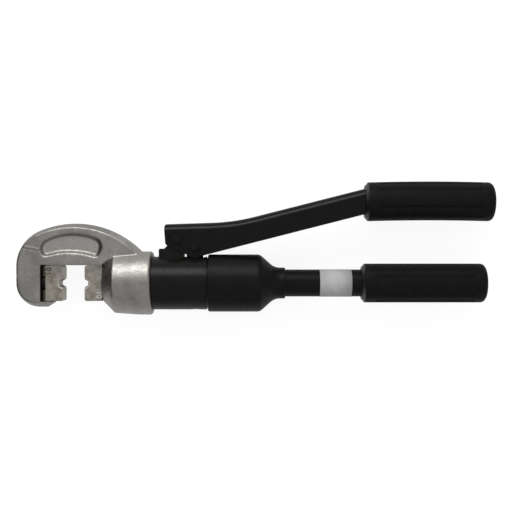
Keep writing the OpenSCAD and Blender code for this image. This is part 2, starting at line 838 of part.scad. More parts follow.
// Stadium along X about the origin
module stadium(r, length) {
    for (side = [-1, 1]) translate([side * length / 2, 0]) circle(r = r);
    square([length, 2 * r], center = true);
}

module plunger() {
    color(bright_steel) difference() {
        union() {
            post(plunger_x, plunger_tip_y, crank_pin.y, plunger_r);
            translate([plunger_x, crank_pin.y, 0])
                linear_extrude(lug_thick, center = true) stadium(eye_r, pin_drift);
        }
        translate([plunger_x, crank_pin.y, 0])
            linear_extrude(lug_thick + 2 * overrun, center = true) stadium(slot_r, pin_drift);
    }
}

module outlet_ball() {
    color(bright_steel) translate([plunger_x, outlet_ball_y, 0]) sphere(r = ball_r);
}

module outlet_spring() {
    color(bright_steel) translate([plunger_x, outlet_plug_y + spring_end_gap, 0]) rotate([-90, 0, 0])
        coil(coil_r, wire_r, outlet_low_y - outlet_plug_y - 2 * spring_end_gap, outlet_turns);
}

module outlet_plug() {
    end_y = outlet_plug_y - outlet_plug_len;
    color(black_steel) difference() {
        post(plunger_x, end_y, outlet_plug_y, plug_r);
        translate([plunger_x, end_y - overrun, 0]) rotate([-90, 0, 0])
            cylinder(h = slot_depth + overrun, r = socket_r, $fn = 6);
    }
}

module intake_seat() {
    color(bronze) translate([0, intake_y, 0])
        ring(intake_seat_x, intake_seat_x + plug_len, port_r, plug_r);
}

module intake_ball() {
    color(bright_steel) translate([intake_ball_x, intake_y, 0]) sphere(r = ball_r);
}

module intake_spring() {
    length = intake_ball_x - ball_r - intake_room_x - 2 * spring_end_gap;
    color(bright_steel) translate([intake_room_x + spring_end_gap, intake_y, 0]) rotate([0, 90, 0])
        coil(coil_r, wire_r, length, intake_turns);
}

module relief_poppet() {
    cone_from = relief_seat_x + valve_gap - (relief_port_r - poppet_tip_r);
    cone_to = cone_from + ball_r - poppet_tip_r;
    color(bright_steel) translate([0, relief_at.x, relief_at.y]) {
        translate([cone_from, 0, 0]) rotate([0, 90, 0])
            cylinder(h = cone_to - cone_from, r1 = poppet_tip_r, r2 = ball_r);
        bar(cone_to, poppet_back_x, ball_r);
        bar(poppet_back_x, poppet_back_x + poppet_stem, poppet_stem_r);
    }
}

module relief_spring() {
    length = relief_screw_x - poppet_back_x - 2 * spring_end_gap;
    color(bright_steel) translate([poppet_back_x + spring_end_gap, relief_at.x, relief_at.y])
        rotate([0, 90, 0]) coil(coil_r, relief_wire_r, length, relief_turns);
}

module relief_screw() {
    end_x = relief_screw_x + plug_len;
    color(bronze) translate([0, relief_at.x, relief_at.y]) difference() {
        bar(relief_screw_x, end_x, plug_r);
        translate([end_x, 0, 0]) cube([2 * slot_depth, slot_w, 2 * plug_r + overrun], center = true);
    }
}

// Lever

// Section of the bent sheet: web on top at zero, cheeks down to a depth, all drawn in by a step
module sheet_section(depth, step) {
    difference() {
        translate([0, -step]) arched(lever_w - 2 * step, depth - 2 * step, sheet_bend - step);
        translate([0, step - sheet]) arched(lever_w - 2 * (sheet - step), depth, sheet_bend - sheet + step);
    }
}

// Stands a section upright and runs it along +X
module along() {
    rotate([0, 90, 0]) children();
}

// Upright block hung from zero, with its two top corners rounded
module arched(width, depth, round) {
    translate([-width / 2, -depth]) square([width, depth - round]);
    translate([round - width / 2, -depth]) square([width - 2 * round, depth]);
    for (side = [-1, 1]) translate([side * (width / 2 - round), -round]) circle(r = round);
}

// Side outline that trims the cheeks: front edge, nose, slanting edge, boss and underside
module cheek_outline() {
    touch = tangent_dir(front_c, front_round, crank_pin, cheek_r);
    corner_y = web_rise - front_top * tan(web_tilt) - front_corner;
    reach = front_corner + overrun;
    polygon([
        pivot + [reach - front_top, corner_y + reach], pivot + [-front_top, corner_y], front_c - [front_round, 0],
        front_c + front_round * touch, crank_pin + cheek_r * touch, crank_pin,
        crank_pin - cheek_r * arm_up, grip_bend_from + lap * arm_dir - (arm_depth - lap_step) * arm_up,
        grip_bend_from + lap * arm_dir + overrun * arm_up, pivot + [corner_run, arm_depth], pivot + [0, arm_depth]
    ]);
    translate(crank_pin) circle(r = cheek_r);
    translate(front_c) circle(r = front_round);
}

module lever_arm() {
    web_len = norm(bend_from - pivot) + front_top;
    arm_straight = arm_len - bend_cut - grip_bend_cut;
    color(black_paint) difference() {
        union() {
            intersection() {
                union() {
                    translate(bend_from) rotate([0, 0, web_tilt]) translate([-web_len, 0, 0])
                        along() linear_extrude(web_len + lap) sheet_section(cheek_depth, lap_step);
                    translate(bend_c) rotate([0, 0, web_tilt - 90])
                        rotate_extrude(angle = arm_tilt - web_tilt)
                        translate([bend_r, 0]) rotate(90) sheet_section(cheek_depth, 0);
                    translate(bend_to) rotate([0, 0, arm_tilt]) translate([-lap, 0, 0])
                        along() linear_extrude(arm_straight + 2 * lap) sheet_section(cheek_depth, lap_step);
                }
                linear_extrude(lever_w + 2 * overrun, center = true) cheek_outline();
            }
            translate(grip_bend_c) rotate([0, 0, 90]) rotate_extrude(angle = arm_tilt)
                translate([grip_bend_r, 0]) rotate(-90) sheet_section(arm_depth, 0);
            translate(tang_from) translate([-lap, 0, 0])
                along() linear_extrude(tang_len + lap) sheet_section(arm_depth, lap_step);
        }
        translate(pivot) cylinder(h = lever_w + 2 * overrun, r = pin_r + run_gap, center = true);
        translate(crank_pin) cylinder(h = lever_w + 2 * overrun, r = pin_r + fit_gap, center = true);
    }
}

// Pin along Z with a circlip groove near each end
module clipped_pin(at) {
    groove_r = pin_r - clip_groove;
    groove_top = clip_z + clip_thick + fit_gap;
    groove_low = clip_z - fit_gap;
    translate(at) rotate_extrude() polygon([
        [0, -pin_half], [pin_r - pin_edge, -pin_half], [pin_r, pin_edge - pin_half],
        [pin_r, -groove_top], [groove_r, -groove_top], [groove_r, -groove_low], [pin_r, -groove_low],
        [pin_r, groove_low], [groove_r, groove_low], [groove_r, groove_top], [pin_r, groove_top],
        [pin_r, pin_half - pin_edge], [pin_r - pin_edge, pin_half], [0, pin_half]
    ]);
}

// Circlip with two drilled ears beside its gap, turned so that the gap faces an angle
module circlip(turn) {
    reach = ear_at + ear_r + overrun;
    rotate(turn) linear_extrude(clip_thick) difference() {
        union() {
            circle(r = clip_r);
            for (side = [-1, 1]) rotate(side * ear_angle) translate([ear_at, 0]) circle(r = ear_r);
        }
        circle(r = pin_r - clip_groove + fit_gap);
        for (side = [-1, 1]) rotate(side * ear_angle) translate([ear_at, 0]) circle(r = ear_hole_r);
        polygon([[0, 0], reach * [1, -tan(clip_gap_angle)], reach * [1, tan(clip_gap_angle)]]);
    }
}

// A circlip on each end of a pin
module clip_pair(at, turn) {
    for (side = [0, 1]) translate(at) mirror([0, 0, side]) translate([0, 0, clip_z]) circlip(turn);
}

module lever_pivot_pin() {
    color(tool_steel) clipped_pin(pivot);
}

module pivot_pin_clips() {
    color(black_steel) clip_pair(pivot, pivot_clip_turn);
}

module plunger_pin() {
    color(tool_steel) clipped_pin(crank_pin);
}

module plunger_pin_clips() {
    color(black_steel) clip_pair(crank_pin, crank_clip_turn);
}

// Handle and grips

// Cover outline, as radius and station: straight, a sloping shoulder with two turns, then the neck
module cover_outline() {
    polygon([
        [0, cover_x], [cover_r - cover_edge, cover_x], [cover_r, cover_x + cover_edge],
        [cover_r, slope_x], [0, slope_x]
    ]);
    turn_in = cover_r - cover_turn_r;
    polygon([[0, slope_x], [turn_in, slope_x], [turn_in, slope_from.y], [0, slope_from.y]]);
    intersection() {
        translate([turn_in, slope_x]) circle(r = cover_turn_r);
        polygon([[turn_in, slope_x], [cover_r, slope_x], [cover_r, slope_from.y], [turn_in, slope_from.y]]);
    }
    polygon([[0, slope_from.y], slope_from, slope_to, [0, slope_to.y]]);
    difference() {
        polygon([[0, slope_to.y], slope_to, [slope_to.x, neck_x], [0, neck_x]]);
        translate([neck_r + neck_turn_r, neck_x]) circle(r = neck_turn_r);
    }
    polygon([
        [0, neck_x], [neck_r, neck_x], [neck_r, neck_end_x - cover_edge],
        [neck_r - cover_edge, neck_end_x], [0, neck_end_x]
    ]);
}

module reservoir_cover() {
    bore = tube_r + fit_gap;
    color(black_rubber) difference() {
        turned() cover_outline();
        bar(cover_x - overrun, step_x, thread_r + fit_gap);
        bar(step_x - overrun, slope_x, cavity_r);
        translate([slope_x, 0, 0]) rotate([0, 90, 0]) cylinder(h = tube_x - slope_x, r1 = cavity_r, r2 = bore);
        bar(tube_x, neck_end_x + overrun, bore);
    }
}

module handle_tube() {
    color(black_paint) ring(tube_x, tube_end_x, tube_in_r, tube_r);
}

module tube_plug() {
    color(black_steel) {
        bar(tube_end_x - plug_in, tube_end_x, tube_in_r - fit_gap);
        bar(tube_end_x, tube_end_x + plug_cap, tube_r - fit_gap);
    }
}

// Bladder outline, as radius and station, drawn in by a wall
module bladder_outline(inset) {
    neck = tail_end_x + bladder_neck;
    intersection() {
        union() {
            polygon([
                [0, tail_end_x], [bladder_neck_r - inset, tail_end_x], [bladder_neck_r - inset, neck],
                [bladder_r - inset, tube_x], [bladder_r - inset, bladder_end_x], [0, bladder_end_x]
            ]);
            translate([0, bladder_end_x]) circle(r = bladder_r - inset);
        }
        translate([0, tail_end_x - overrun]) square([flange_r, beyond + bladder_end_x]);
    }
}

module oil_bladder() {
    color(seal_rubber) difference() {
        union() {
            turned() bladder_outline(0);
            bar(tail_end_x, tail_end_x + flange_w, flange_r);
        }
        turned() bladder_outline(bladder_wall);
    }
}

module bladder_ring() {
    from = tail_end_x + flange_w;
    color(bright_steel) ring(from, from + ring_len, bladder_neck_r + fit_gap, flange_r);
}

// Grip along X from zero, with rounded ends and lengthwise grooves between plain bands
module grip_blank(length) {
    outer = grip_r - grip_end_round;
    difference() {
        turned() {
            translate([0, grip_front_round]) square([grip_r, length - grip_front_round - grip_end_round]);
            square([grip_r - grip_front_round, length - grip_end_round]);
            square([outer, length]);
            translate([grip_r - grip_front_round, grip_front_round]) circle(r = grip_front_round);
            intersection() {
                translate([outer, length - grip_end_round]) circle(r = grip_end_round);
                translate([0, length - grip_end_round]) square(grip_r);
            }
        }
        for (i = [0 : grip_grooves - 1]) if (i % (grip_grooves / 2) != 0)
            rotate([i * 360 / grip_grooves, 0, 0]) translate([front_band, -groove_w / 2, grip_r - groove_depth])
            cube([length - front_band - end_band, groove_w, overrun]);
    }
}

module fixed_grip() {
    color(black_rubber) difference() {
        translate([grip_x, 0, 0]) grip_blank(fixed_grip_len);
        bar(grip_x - overrun, tube_end_x + plug_cap + side_gap, tube_r + fit_gap);
    }
}

module lever_grip() {
    mouth = grip_bend_c.x + side_gap - lever_grip_x;
    depth = tang_from.x + tang_len + side_gap - lever_grip_x;
    width = lever_w + 2 * side_gap;
    high = arm_depth / 2 + side_gap;
    color(black_rubber) translate([lever_grip_x, lever_grip_y, 0]) difference() {
        grip_blank(lever_grip_len);
        translate([-overrun, 0, 0]) along() linear_extrude(mouth + overrun)
            translate([-width / 2, -mouth_reach]) square([width, mouth_reach + high]);
        along() linear_extrude(depth) square([width, 2 * high], center = true);
    }
}

laid() c_head();
laid() head_lock_screw();
laid() fixed_die();
laid() fixed_die_screw();
laid() ram_bush();
laid() ram();
laid() ram_seal();
laid() ram_backup_ring();
laid() moving_die();
laid() moving_die_screw();
laid() return_spring();
laid() pump_body();
laid() lever_pivot_pin();
laid() pivot_pin_clips();
laid() lever_arm();
laid() lever_grip();
laid() plunger_pin();
laid() plunger_pin_clips();
laid() plunger();
laid() plunger_gland();
laid() plunger_seal();
laid() intake_seat();
laid() intake_ball();
laid() intake_spring();
laid() outlet_ball();
laid() outlet_spring();
laid() outlet_plug();
laid() relief_poppet();
laid() relief_spring();
laid() relief_screw();
laid() oil_bladder();
laid() bladder_ring();
laid() reservoir_cover();
laid() handle_tube();
laid() tube_plug();
laid() fixed_grip();
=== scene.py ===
"""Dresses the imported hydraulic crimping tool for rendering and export.

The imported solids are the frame. Visible pieces get softened or fuller copies, every piece
gets a procedural finish, and a plain white table with one soft lamp shows the tool from above.
Sizes are in metres and angles in degrees. A field that ends in _upright is how far a face or a
point has to look up or down, from 0 to 1.
"""

import json
import logging
import math
from dataclasses import dataclass
from enum import Enum, IntEnum
from typing import Callable, ClassVar

import bmesh
import bpy
from mathutils import Matrix, Vector

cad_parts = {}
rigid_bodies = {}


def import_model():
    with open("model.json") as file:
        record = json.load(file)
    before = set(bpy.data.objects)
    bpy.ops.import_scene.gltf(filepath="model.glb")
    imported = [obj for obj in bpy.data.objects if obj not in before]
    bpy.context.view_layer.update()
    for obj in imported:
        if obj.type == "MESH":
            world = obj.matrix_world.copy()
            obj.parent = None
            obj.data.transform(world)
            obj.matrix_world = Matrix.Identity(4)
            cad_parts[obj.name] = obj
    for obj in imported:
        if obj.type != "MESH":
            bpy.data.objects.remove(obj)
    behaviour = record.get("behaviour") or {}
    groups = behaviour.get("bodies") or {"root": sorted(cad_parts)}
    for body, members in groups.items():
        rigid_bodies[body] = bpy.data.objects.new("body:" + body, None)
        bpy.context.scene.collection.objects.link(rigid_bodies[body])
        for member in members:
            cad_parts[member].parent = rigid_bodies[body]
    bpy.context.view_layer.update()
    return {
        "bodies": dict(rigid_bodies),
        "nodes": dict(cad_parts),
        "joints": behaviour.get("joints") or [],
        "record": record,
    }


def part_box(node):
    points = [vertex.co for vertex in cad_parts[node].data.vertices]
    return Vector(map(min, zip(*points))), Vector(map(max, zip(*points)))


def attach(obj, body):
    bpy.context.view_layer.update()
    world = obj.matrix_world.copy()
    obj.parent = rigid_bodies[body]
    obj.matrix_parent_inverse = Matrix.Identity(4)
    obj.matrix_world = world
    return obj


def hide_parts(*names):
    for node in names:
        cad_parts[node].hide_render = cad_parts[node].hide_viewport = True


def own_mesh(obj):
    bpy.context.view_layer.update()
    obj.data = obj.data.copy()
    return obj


LOG = logging.getLogger("crimping_tool")
Colour = tuple[float, float, float, float]

# Distances in metres and angles in radians by which meshes are joined and sorted.
TOUCHING = 1e-7
SAME_POINT = 1e-6
FLAT_WITHIN = math.radians(0.3)
SHARP_OVER = math.radians(32)


class Skin(IntEnum):
    """The places of a die that have a finish of their own, in the order of its materials."""

    FLAT = 0
    STAMP = 1
    # Painted shade on the front bevels, and on the fixed die's notch walls.
    EDGE = 2
    # Painted highlight on the notch's rim, and on the moving die's notch walls.
    RIM = 3
    SHANK = 4


class Body(Enum):
    """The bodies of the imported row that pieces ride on."""

    TOOL = "tool"
    LEVER = "lever"
    RAM = "ram_unit"


def tone(red: int, green: int, blue: int) -> Colour:
    """Turns a screen colour into the linear colour that shaders take.

    Args:
        red: Red, 0 to 255.
        green: Green, 0 to 255.
        blue: Blue, 0 to 255.

    Returns:
        The linear colour with an alpha of one.
    """
    # The screen curve has a straight foot and then a power.
    parts = []
    for part in (red, green, blue):
        level = part / 255
        parts.append(level / 12.92 if level <= 0.04045 else ((level + 0.055) / 1.055) ** 2.4)
    return parts[0], parts[1], parts[2], 1.0


def map_range(tree: bpy.types.NodeTree, source: tuple[float, float],
              target: tuple[float, float]) -> bpy.types.Node:
    """Adds a node that maps one range of values to another.

    Args:
        tree: The node tree.
        source: Lowest and highest value that come in.
        target: What these two become.

    Returns:
        The Map Range node.
    """
    node = tree.nodes.new("ShaderNodeMapRange")
    for socket, value in zip(("From Min", "From Max", "To Min", "To Max"), (*source, *target)):
        node.inputs[socket].default_value = value
    return node


def maths(tree: bpy.types.NodeTree, operation: str) -> bpy.types.Node:
    """Adds a node that works two or three values into one.

    Args:
        tree: The node tree.
        operation: Name of the operation.

    Returns:
        The Math node.
    """
    node = tree.nodes.new("ShaderNodeMath")
    node.operation = operation
    return node


class Graph:
    """A material's node tree with short ways to add and join nodes."""

    NOISE_RANGE: ClassVar[tuple[float, float]] = (0.3, 0.7)

    def __init__(self, material: bpy.types.Material) -> None:
        """Clears the tree and places the shader and the output.

        Args:
            material: The material whose tree is filled.
        """
        material.use_nodes = True
        self.tree = material.node_tree
        self.tree.nodes.clear()
        output = self.tree.nodes.new("ShaderNodeOutputMaterial")
        self.shader = self.tree.nodes.new("ShaderNodeBsdfPrincipled")
        self.join(self.shader, "BSDF", output, "Surface")
        self.place = self.tree.nodes.new("ShaderNodeTexCoord")

    def join(self, start: bpy.types.Node, out: str, end: bpy.types.Node, into: str | int) -> None:
        """Links an output socket to an input socket."""
        self.tree.links.new(start.outputs[out], end.inputs[into])

    def noise(self, scale: float, detail: float, stretch: Vector | None = None) -> bpy.types.Node:
        """Adds a noise pattern on the piece's own coordinates.

        Args:
            scale: Pattern cells per metre.
            detail: Octaves of finer noise.
            stretch: Scale along each axis, where the pattern is drawn out.

        Returns:
            The noise node.
        """
        noise = self.tree.nodes.new("ShaderNodeTexNoise")
        noise.inputs["Scale"].default_value = scale
        noise.inputs["Detail"].default_value = detail
        if stretch is None:
            self.join(self.place, "Object", noise, "Vector")
        else:
            mapping = self.tree.nodes.new("ShaderNodeMapping")
            mapping.inputs["Scale"].default_value = stretch
            self.join(self.place, "Object", mapping, "Vector")
            self.join(mapping, "Vector", noise, "Vector")
        return noise

    def ramp(self, source: bpy.types.Node, stops: list[tuple[float, Colour]]) -> bpy.types.Node:
        """Adds a colour ramp on a noise value.

        Args:
            source: Noise node.
            stops: Positions and colours of the ramp's two ends.

        Returns:
            The ramp node.
        """
        ramp = self.tree.nodes.new("ShaderNodeValToRGB")
        for point, (position, colour) in zip(ramp.color_ramp.elements, stops):
            point.position = position
            point.color = colour
        self.join(source, "Fac", ramp, "Fac")
        return ramp

    def spread(self, source: bpy.types.Node, low: float, high: float) -> bpy.types.Node:
        """Spreads a noise value over a range.

        Args:
            source: Noise node.
            low: Value at the low side of the noise.
            high: Value at the high side of the noise.

        Returns:
            The Map Range node.
        """
        spread = map_range(self.tree, self.NOISE_RANGE, (low, high))
        self.join(source, "Fac", spread, "Value")
        return spread

    def share(self, name: str) -> bpy.types.Node:
        """Adds a reader of a value that the mesh's points carry.

        Args:
            name: Name of the value.

        Returns:
            The Attribute node.
        """
        reader = self.tree.nodes.new("ShaderNodeAttribute")
        reader.attribute_name = name
        return reader

    def mix(self, amount: bpy.types.Node, first: bpy.types.Node, second: Colour) -> bpy.types.Node:
        """Mixes a pattern's colour with a plain one.

        Args:
            amount: Attribute node that gives the share of the plain colour.
            first: Node that gives the pattern's colour.
            second: The plain colour.

        Returns:
            The Mix Color node.
        """
        mix = self.tree.nodes.new("ShaderNodeMixRGB")
        mix.inputs["Color2"].default_value = second
        self.join(amount, "Fac", mix, "Fac")
        self.join(first, "Color", mix, "Color1")
        return mix

    def scaled(self, colour: bpy.types.Node, amount: bpy.types.Node) -> bpy.types.Node:
        """Scales a colour by a value that varies over the surface.

        Args:
            colour: Node that gives the colour.
            amount: Map Range node that gives the value.

        Returns:
            The Vector Math node.
        """
        scaled = self.tree.nodes.new("ShaderNodeVectorMath")
        scaled.operation = "SCALE"
        self.join(colour, "Color", scaled, 0)
        self.join(amount, "Result", scaled, "Scale")
        return scaled

    def bump(self, source: bpy.types.Node, depth: float,
             under: bpy.types.Node | None = None) -> bpy.types.Node:
        """Adds surface relief from a height pattern.

        Args:
            source: Noise node that gives the height.
            depth: Height of the relief in metres.
            under: Coarser relief that this one lies on.

        Returns:
            The bump node, which is already joined to the shader.
        """
        bump = self.tree.nodes.new("ShaderNodeBump")
        bump.inputs["Distance"].default_value = depth
        self.join(source, "Fac", bump, "Height")
        if under is not None:
            self.join(under, "Normal", bump, "Normal")
        self.join(bump, "Normal", self.shader, "Normal")
        return bump


@dataclass(frozen=True)
class Finish:
    """A surface finish: two close tones in patches, uneven gloss and a fine grain."""

    name: str
    dark: Colour
    light: Colour
    metallic: float
    gloss: tuple[float, float]
    patch_scale: float = 60.0
    grain_scale: float = 1500.0
    grain_depth: float = 0.00002
    specular: float = 0.5
    stretch: tuple[float, float, float] | None = None

    PATCH_DETAIL: ClassVar[float] = 5.0
    PATCH_STOPS: ClassVar[tuple[float, float]] = (0.32, 0.68)
    GLOSS_FINER: ClassVar[float] = 3.0
    GLOSS_DETAIL: ClassVar[float] = 4.0
    GRAIN_DETAIL: ClassVar[float] = 3.0

    def material(self) -> bpy.types.Material:
        """Makes the material once and gives it again afterwards.

        Returns:
            The finish as a material.
        """
        known = bpy.data.materials.get(self.name + "_finish")
        if known is not None:
            return known
        material = bpy.data.materials.new(self.name + "_finish")
        graph = Graph(material)
        graph.shader.inputs["Metallic"].default_value = self.metallic
        graph.shader.inputs["Specular IOR Level"].default_value = self.specular
        self.colour(graph)
        self.relief(graph)
        return material

    def colour(self, graph: Graph) -> None:
        """Joins the patches of colour and gloss.

        Args:
            graph: The node tree to fill.
        """
        graph.join(self.patches(graph), "Color", graph.shader, "Base Color")
        self.uneven_gloss(graph)

    def patches(self, graph: Graph) -> bpy.types.Node:
        """Adds the two tones in patches.

        Args:
            graph: The node tree to fill.

        Returns:
            The ramp node that gives the colour.
        """
        patch = graph.noise(self.patch_scale, self.PATCH_DETAIL)
        return graph.ramp(patch, list(zip(self.PATCH_STOPS, (self.dark, self.light))))

    def uneven_gloss(self, graph: Graph) -> None:
        """Joins a roughness that varies over the surface."""
        uneven = graph.noise(self.patch_scale * self.GLOSS_FINER, self.GLOSS_DETAIL)
        graph.join(graph.spread(uneven, *self.gloss), "Result", graph.shader, "Roughness")

    def relief(self, graph: Graph) -> None:
        """Joins the fine grain.

        Args:
            graph: The node tree to fill.
        """
        stretch = Vector(self.stretch) if self.stretch else None
        graph.bump(graph.noise(self.grain_scale, self.GRAIN_DETAIL, stretch), self.grain_depth)


@dataclass(frozen=True)
class ForgedFinish(Finish):
    """Blasted forging skin: soft waves under a sparkling grain."""

    wave_scale: float = 170.0
    wave_depth: float = 0.0002
    # Painted shade on the side walls of the trimmed rim.
    rim: Colour = (0.2, 0.2, 0.2, 1.0)
    # Painted light on the pocket floors.
    floor: Colour = (0.5, 0.5, 0.5, 1.0)
    # Painted shade on the walls round the die seat.
    seat: Colour = (0.02, 0.02, 0.02, 1.0)
    speck: float = 0.1

    PATCH_STOPS: ClassVar[tuple[float, float]] = (0.3, 0.7)
    GLOSS_FINER: ClassVar[float] = 6.0
    GLOSS_DETAIL: ClassVar[float] = 3.0
    GRAIN_DETAIL: ClassVar[float] = 4.0
    GRIT_DETAIL: ClassVar[float] = 2.0
    WAVE_DETAIL: ClassVar[float] = 2.0

    def colour(self, graph: Graph) -> None:
        """Joins the patches, the painted shade on the rim's side walls, the painted light on the pocket
        floors, the painted shade round the die seat and the gloss.

        Args:
            graph: The node tree to fill.
        """
        # The rim's side walls take painted shade, the pocket floors painted light, and the walls round the
        # die seat painted shade.
        edged = graph.mix(graph.share("rim"), self.patches(graph), self.rim)
        floor_painted_light = graph.mix(graph.share("floor"), edged, self.floor)
        whole = graph.mix(graph.share("seat"), floor_painted_light, self.seat)
        grain = graph.noise(self.grain_scale, self.GRIT_DETAIL)
        grit = graph.spread(grain, 1 - self.speck, 1 + self.speck)
        graph.join(graph.scaled(whole, grit), "Vector", graph.shader, "Base Color")
        self.uneven_gloss(graph)

    def relief(self, graph: Graph) -> None:
        """Joins the waves of the forging and the blasted grain.

        Args:
            graph: The node tree to fill.
        """
        wave = graph.bump(graph.noise(self.wave_scale, self.WAVE_DETAIL), self.wave_depth)
        graph.bump(graph.noise(self.grain_scale, self.GRAIN_DETAIL), self.grain_depth, wave)


class Finishes:
    """The finishes of the tool, by material slot."""

    # FORGED's rim colour is painted shade on the rim's side walls, its floor colour is painted light on the
    # pocket floors, and its seat colour is painted shade round the die seat.
    FORGED = ForgedFinish("forged_steel", tone(156, 153, 148), tone(186, 183, 178), 1.0, (0.32, 0.46),
                          patch_scale=90, grain_scale=1250, grain_depth=0.00016, rim=tone(150, 148, 144),
                          floor=tone(190, 188, 184), seat=tone(96, 90, 80), speck=0.14)
    DIE = Finish("die_steel", tone(156, 149, 138), tone(200, 195, 185), 1.0, (0.32, 0.44), patch_scale=260,
                 grain_scale=700, grain_depth=0.00003, stretch=(0.12, 2.2, 1.0))
    DARK_STAMP = Finish("dark_stamp", tone(98, 94, 87), tone(118, 114, 107), 1.0, (0.40, 0.50),
                        patch_scale=400)
    # Painted highlight in the sunk strokes of the moving die's size mark.
    LIGHT_STAMP = Finish("stamp_highlight", tone(232, 231, 228), tone(242, 241, 238), 0.0, (0.40, 0.50),
                         patch_scale=400)
    # Painted shade on the die's front bevels and the fixed die's notch walls.
    DIE_EDGE = Finish("die_edge_shade", tone(78, 74, 66), tone(98, 93, 84), 1.0, (0.38, 0.48), patch_scale=300)
    # Painted highlight on the notch's rim and the moving die's notch walls.
    DIE_RIM = Finish("die_rim_highlight", tone(192, 188, 179), tone(210, 206, 197), 0.0, (0.40, 0.52), patch_scale=300)
    DIE_SHANK = Finish("die_shank", tone(26, 24, 21), tone(36, 33, 29), 0.6, (0.42, 0.54), patch_scale=300)
    ROD = Finish("ram_steel", tone(128, 126, 122), tone(148, 146, 141), 1.0, (0.36, 0.48), patch_scale=200,
                 grain_scale=900, grain_depth=0.000005, stretch=(0.1, 1.0, 1.0))
    BLACK_STEEL = Finish("black_steel", tone(16, 17, 18), tone(26, 24, 22), 0.0, (0.25, 0.36),
                         patch_scale=90, grain_scale=1100, grain_depth=0.000012, specular=0.19)
    PAINT = Finish("black_paint", tone(10, 11, 11), tone(14, 15, 15), 0.0, (0.18, 0.27), patch_scale=120,
                   grain_scale=900, grain_depth=0.000008, specular=0.2)
    COVER = Finish("black_cover", tone(12, 13, 14), tone(17, 18, 19), 0.0, (0.37, 0.47), patch_scale=80,
                   grain_scale=2200, grain_depth=0.00001, specular=0.17)
    GRIP = Finish("grip_rubber", tone(15, 16, 17), tone(21, 22, 23), 0.0, (0.46, 0.6), patch_scale=140,
                  grain_scale=2600, grain_depth=0.000015, specular=0.13)
    GRIP_RIM = Finish("grip_rim", tone(15, 16, 17), tone(21, 22, 23), 0.0, (0.3, 0.4), patch_scale=140,
                      grain_scale=2600, grain_depth=0.00001, specular=0.75)
    TUBE = Finish("tube_paint", tone(16, 17, 17), tone(22, 23, 23), 0.0, (0.36, 0.46), patch_scale=120,
                  grain_scale=900, grain_depth=0.00001, specular=0.13)
    CARD = Finish("card_black", tone(18, 18, 18), tone(22, 22, 22), 0.0, (0.8, 0.9), patch_scale=9)
    SEAL = Finish("seal_rubber", tone(16, 16, 17), tone(24, 24, 25), 0.0, (0.4, 0.55), patch_scale=200)
    BRIGHT = Finish("bright_steel", tone(196, 196, 198), tone(214, 214, 216), 1.0, (0.16, 0.26),
                    patch_scale=130, grain_scale=900, grain_depth=0.000005, stretch=(0.1, 1.0, 1.0))
    PIN = Finish("pin_steel", tone(17, 17, 17), tone(24, 23, 22), 0.0, (0.38, 0.5), patch_scale=240,
                 grain_scale=1600, grain_depth=0.000008, specular=0.16)
    CLIP = Finish("clip_steel", tone(13, 13, 13), tone(19, 19, 19), 0.0, (0.34, 0.46), patch_scale=260,
                  grain_scale=1600, grain_depth=0.000008, specular=0.16)
    SPRING = Finish("spring_steel", tone(120, 121, 124), tone(150, 151, 154), 1.0, (0.24, 0.36),
                    patch_scale=200, grain_scale=1400, grain_depth=0.000006)
    BALL = Finish("ball_steel", tone(205, 206, 208), tone(220, 221, 223), 1.0, (0.08, 0.14), patch_scale=300,
                  grain_scale=2400, grain_depth=0.000002)
    BRONZE = Finish("bronze", tone(176, 134, 74), tone(200, 158, 94), 1.0, (0.26, 0.38), patch_scale=150,
                    grain_scale=1200, grain_depth=0.000006)
    WHITE = Finish("white_plastic", tone(214, 212, 206), tone(228, 227, 222), 0.0, (0.4, 0.5),
                   patch_scale=150)
    FOIL = Finish("label_foil", tone(200, 200, 199), tone(212, 212, 211), 0.0, (0.46, 0.58), patch_scale=160,
                  grain_scale=1500, grain_depth=0.000004, specular=0.25, stretch=(0.15, 1.0, 1.0))

    BY_NODE = {"handle_tube": TUBE, "ram": ROD}

    @classmethod
    def by_slot(cls, slot: str) -> Finish:
        """Finds the finish of a material slot.

        Args:
            slot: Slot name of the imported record.

        Returns:
            The finish of that name.
        """
        for finish in vars(cls).values():
            if isinstance(finish, Finish) and finish.name == slot:
                return finish
        raise KeyError(slot)


def to_data(name: str, mesh: bmesh.types.BMesh) -> bpy.types.Mesh:
    """Stores a mesh under work and frees it.

    Args:
        name: Name of the stored mesh.
        mesh: The mesh under work.

    Returns:
        The stored mesh.
    """
    data = bpy.data.meshes.new(name)
    mesh.to_mesh(data)
    mesh.free()
    return data


def placed(name: str, data: bpy.types.ID) -> bpy.types.Object:
    """Makes an object of a mesh, a text, a lamp or a camera and puts it in the scene.

    Args:
        name: Name of the object.
        data: What the object shows.

    Returns:
        The new object.
    """
    made = bpy.data.objects.new(name, data)
    bpy.context.scene.collection.objects.link(made)
    return made


def shaped(holder: bpy.types.Object) -> bmesh.types.BMesh:
    """Takes an object's shape after its modifiers.

    Args:
        holder: The object.

    Returns:
        The shape as a mesh under work.
    """
    data = bpy.data.meshes.new_from_object(holder.evaluated_get(bpy.context.evaluated_depsgraph_get()))
    mesh = bmesh.new()
    mesh.from_mesh(data)
    bpy.data.meshes.remove(data)
    return mesh


def take_away(holder: bpy.types.Object) -> None:
    """Takes a helper object and its mesh out of the scene.

    Args:
        holder: The helper object.
    """
    data = holder.data
    bpy.data.objects.remove(holder)
    bpy.data.meshes.remove(data)


def piece(name: str, mesh: bmesh.types.BMesh, body: Body, finish: Finish) -> bpy.types.Object:
    """Makes a finished object from a mesh under work and lets it ride on a body.

    Args:
        name: Name of the piece.
        mesh: The mesh under work, which is freed here.
        body: Body that carries the piece.
        finish: Finish of the piece.

    Returns:
        The new object.
    """
    data = to_data(name, mesh)
    for face in data.polygons:
        face.use_smooth = True
    made = placed(name, data)
    data.materials.append(finish.material())
    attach(made, body.value)
    LOG.info("%s: %d faces on %s", name, len(data.polygons), body.value)
    return made


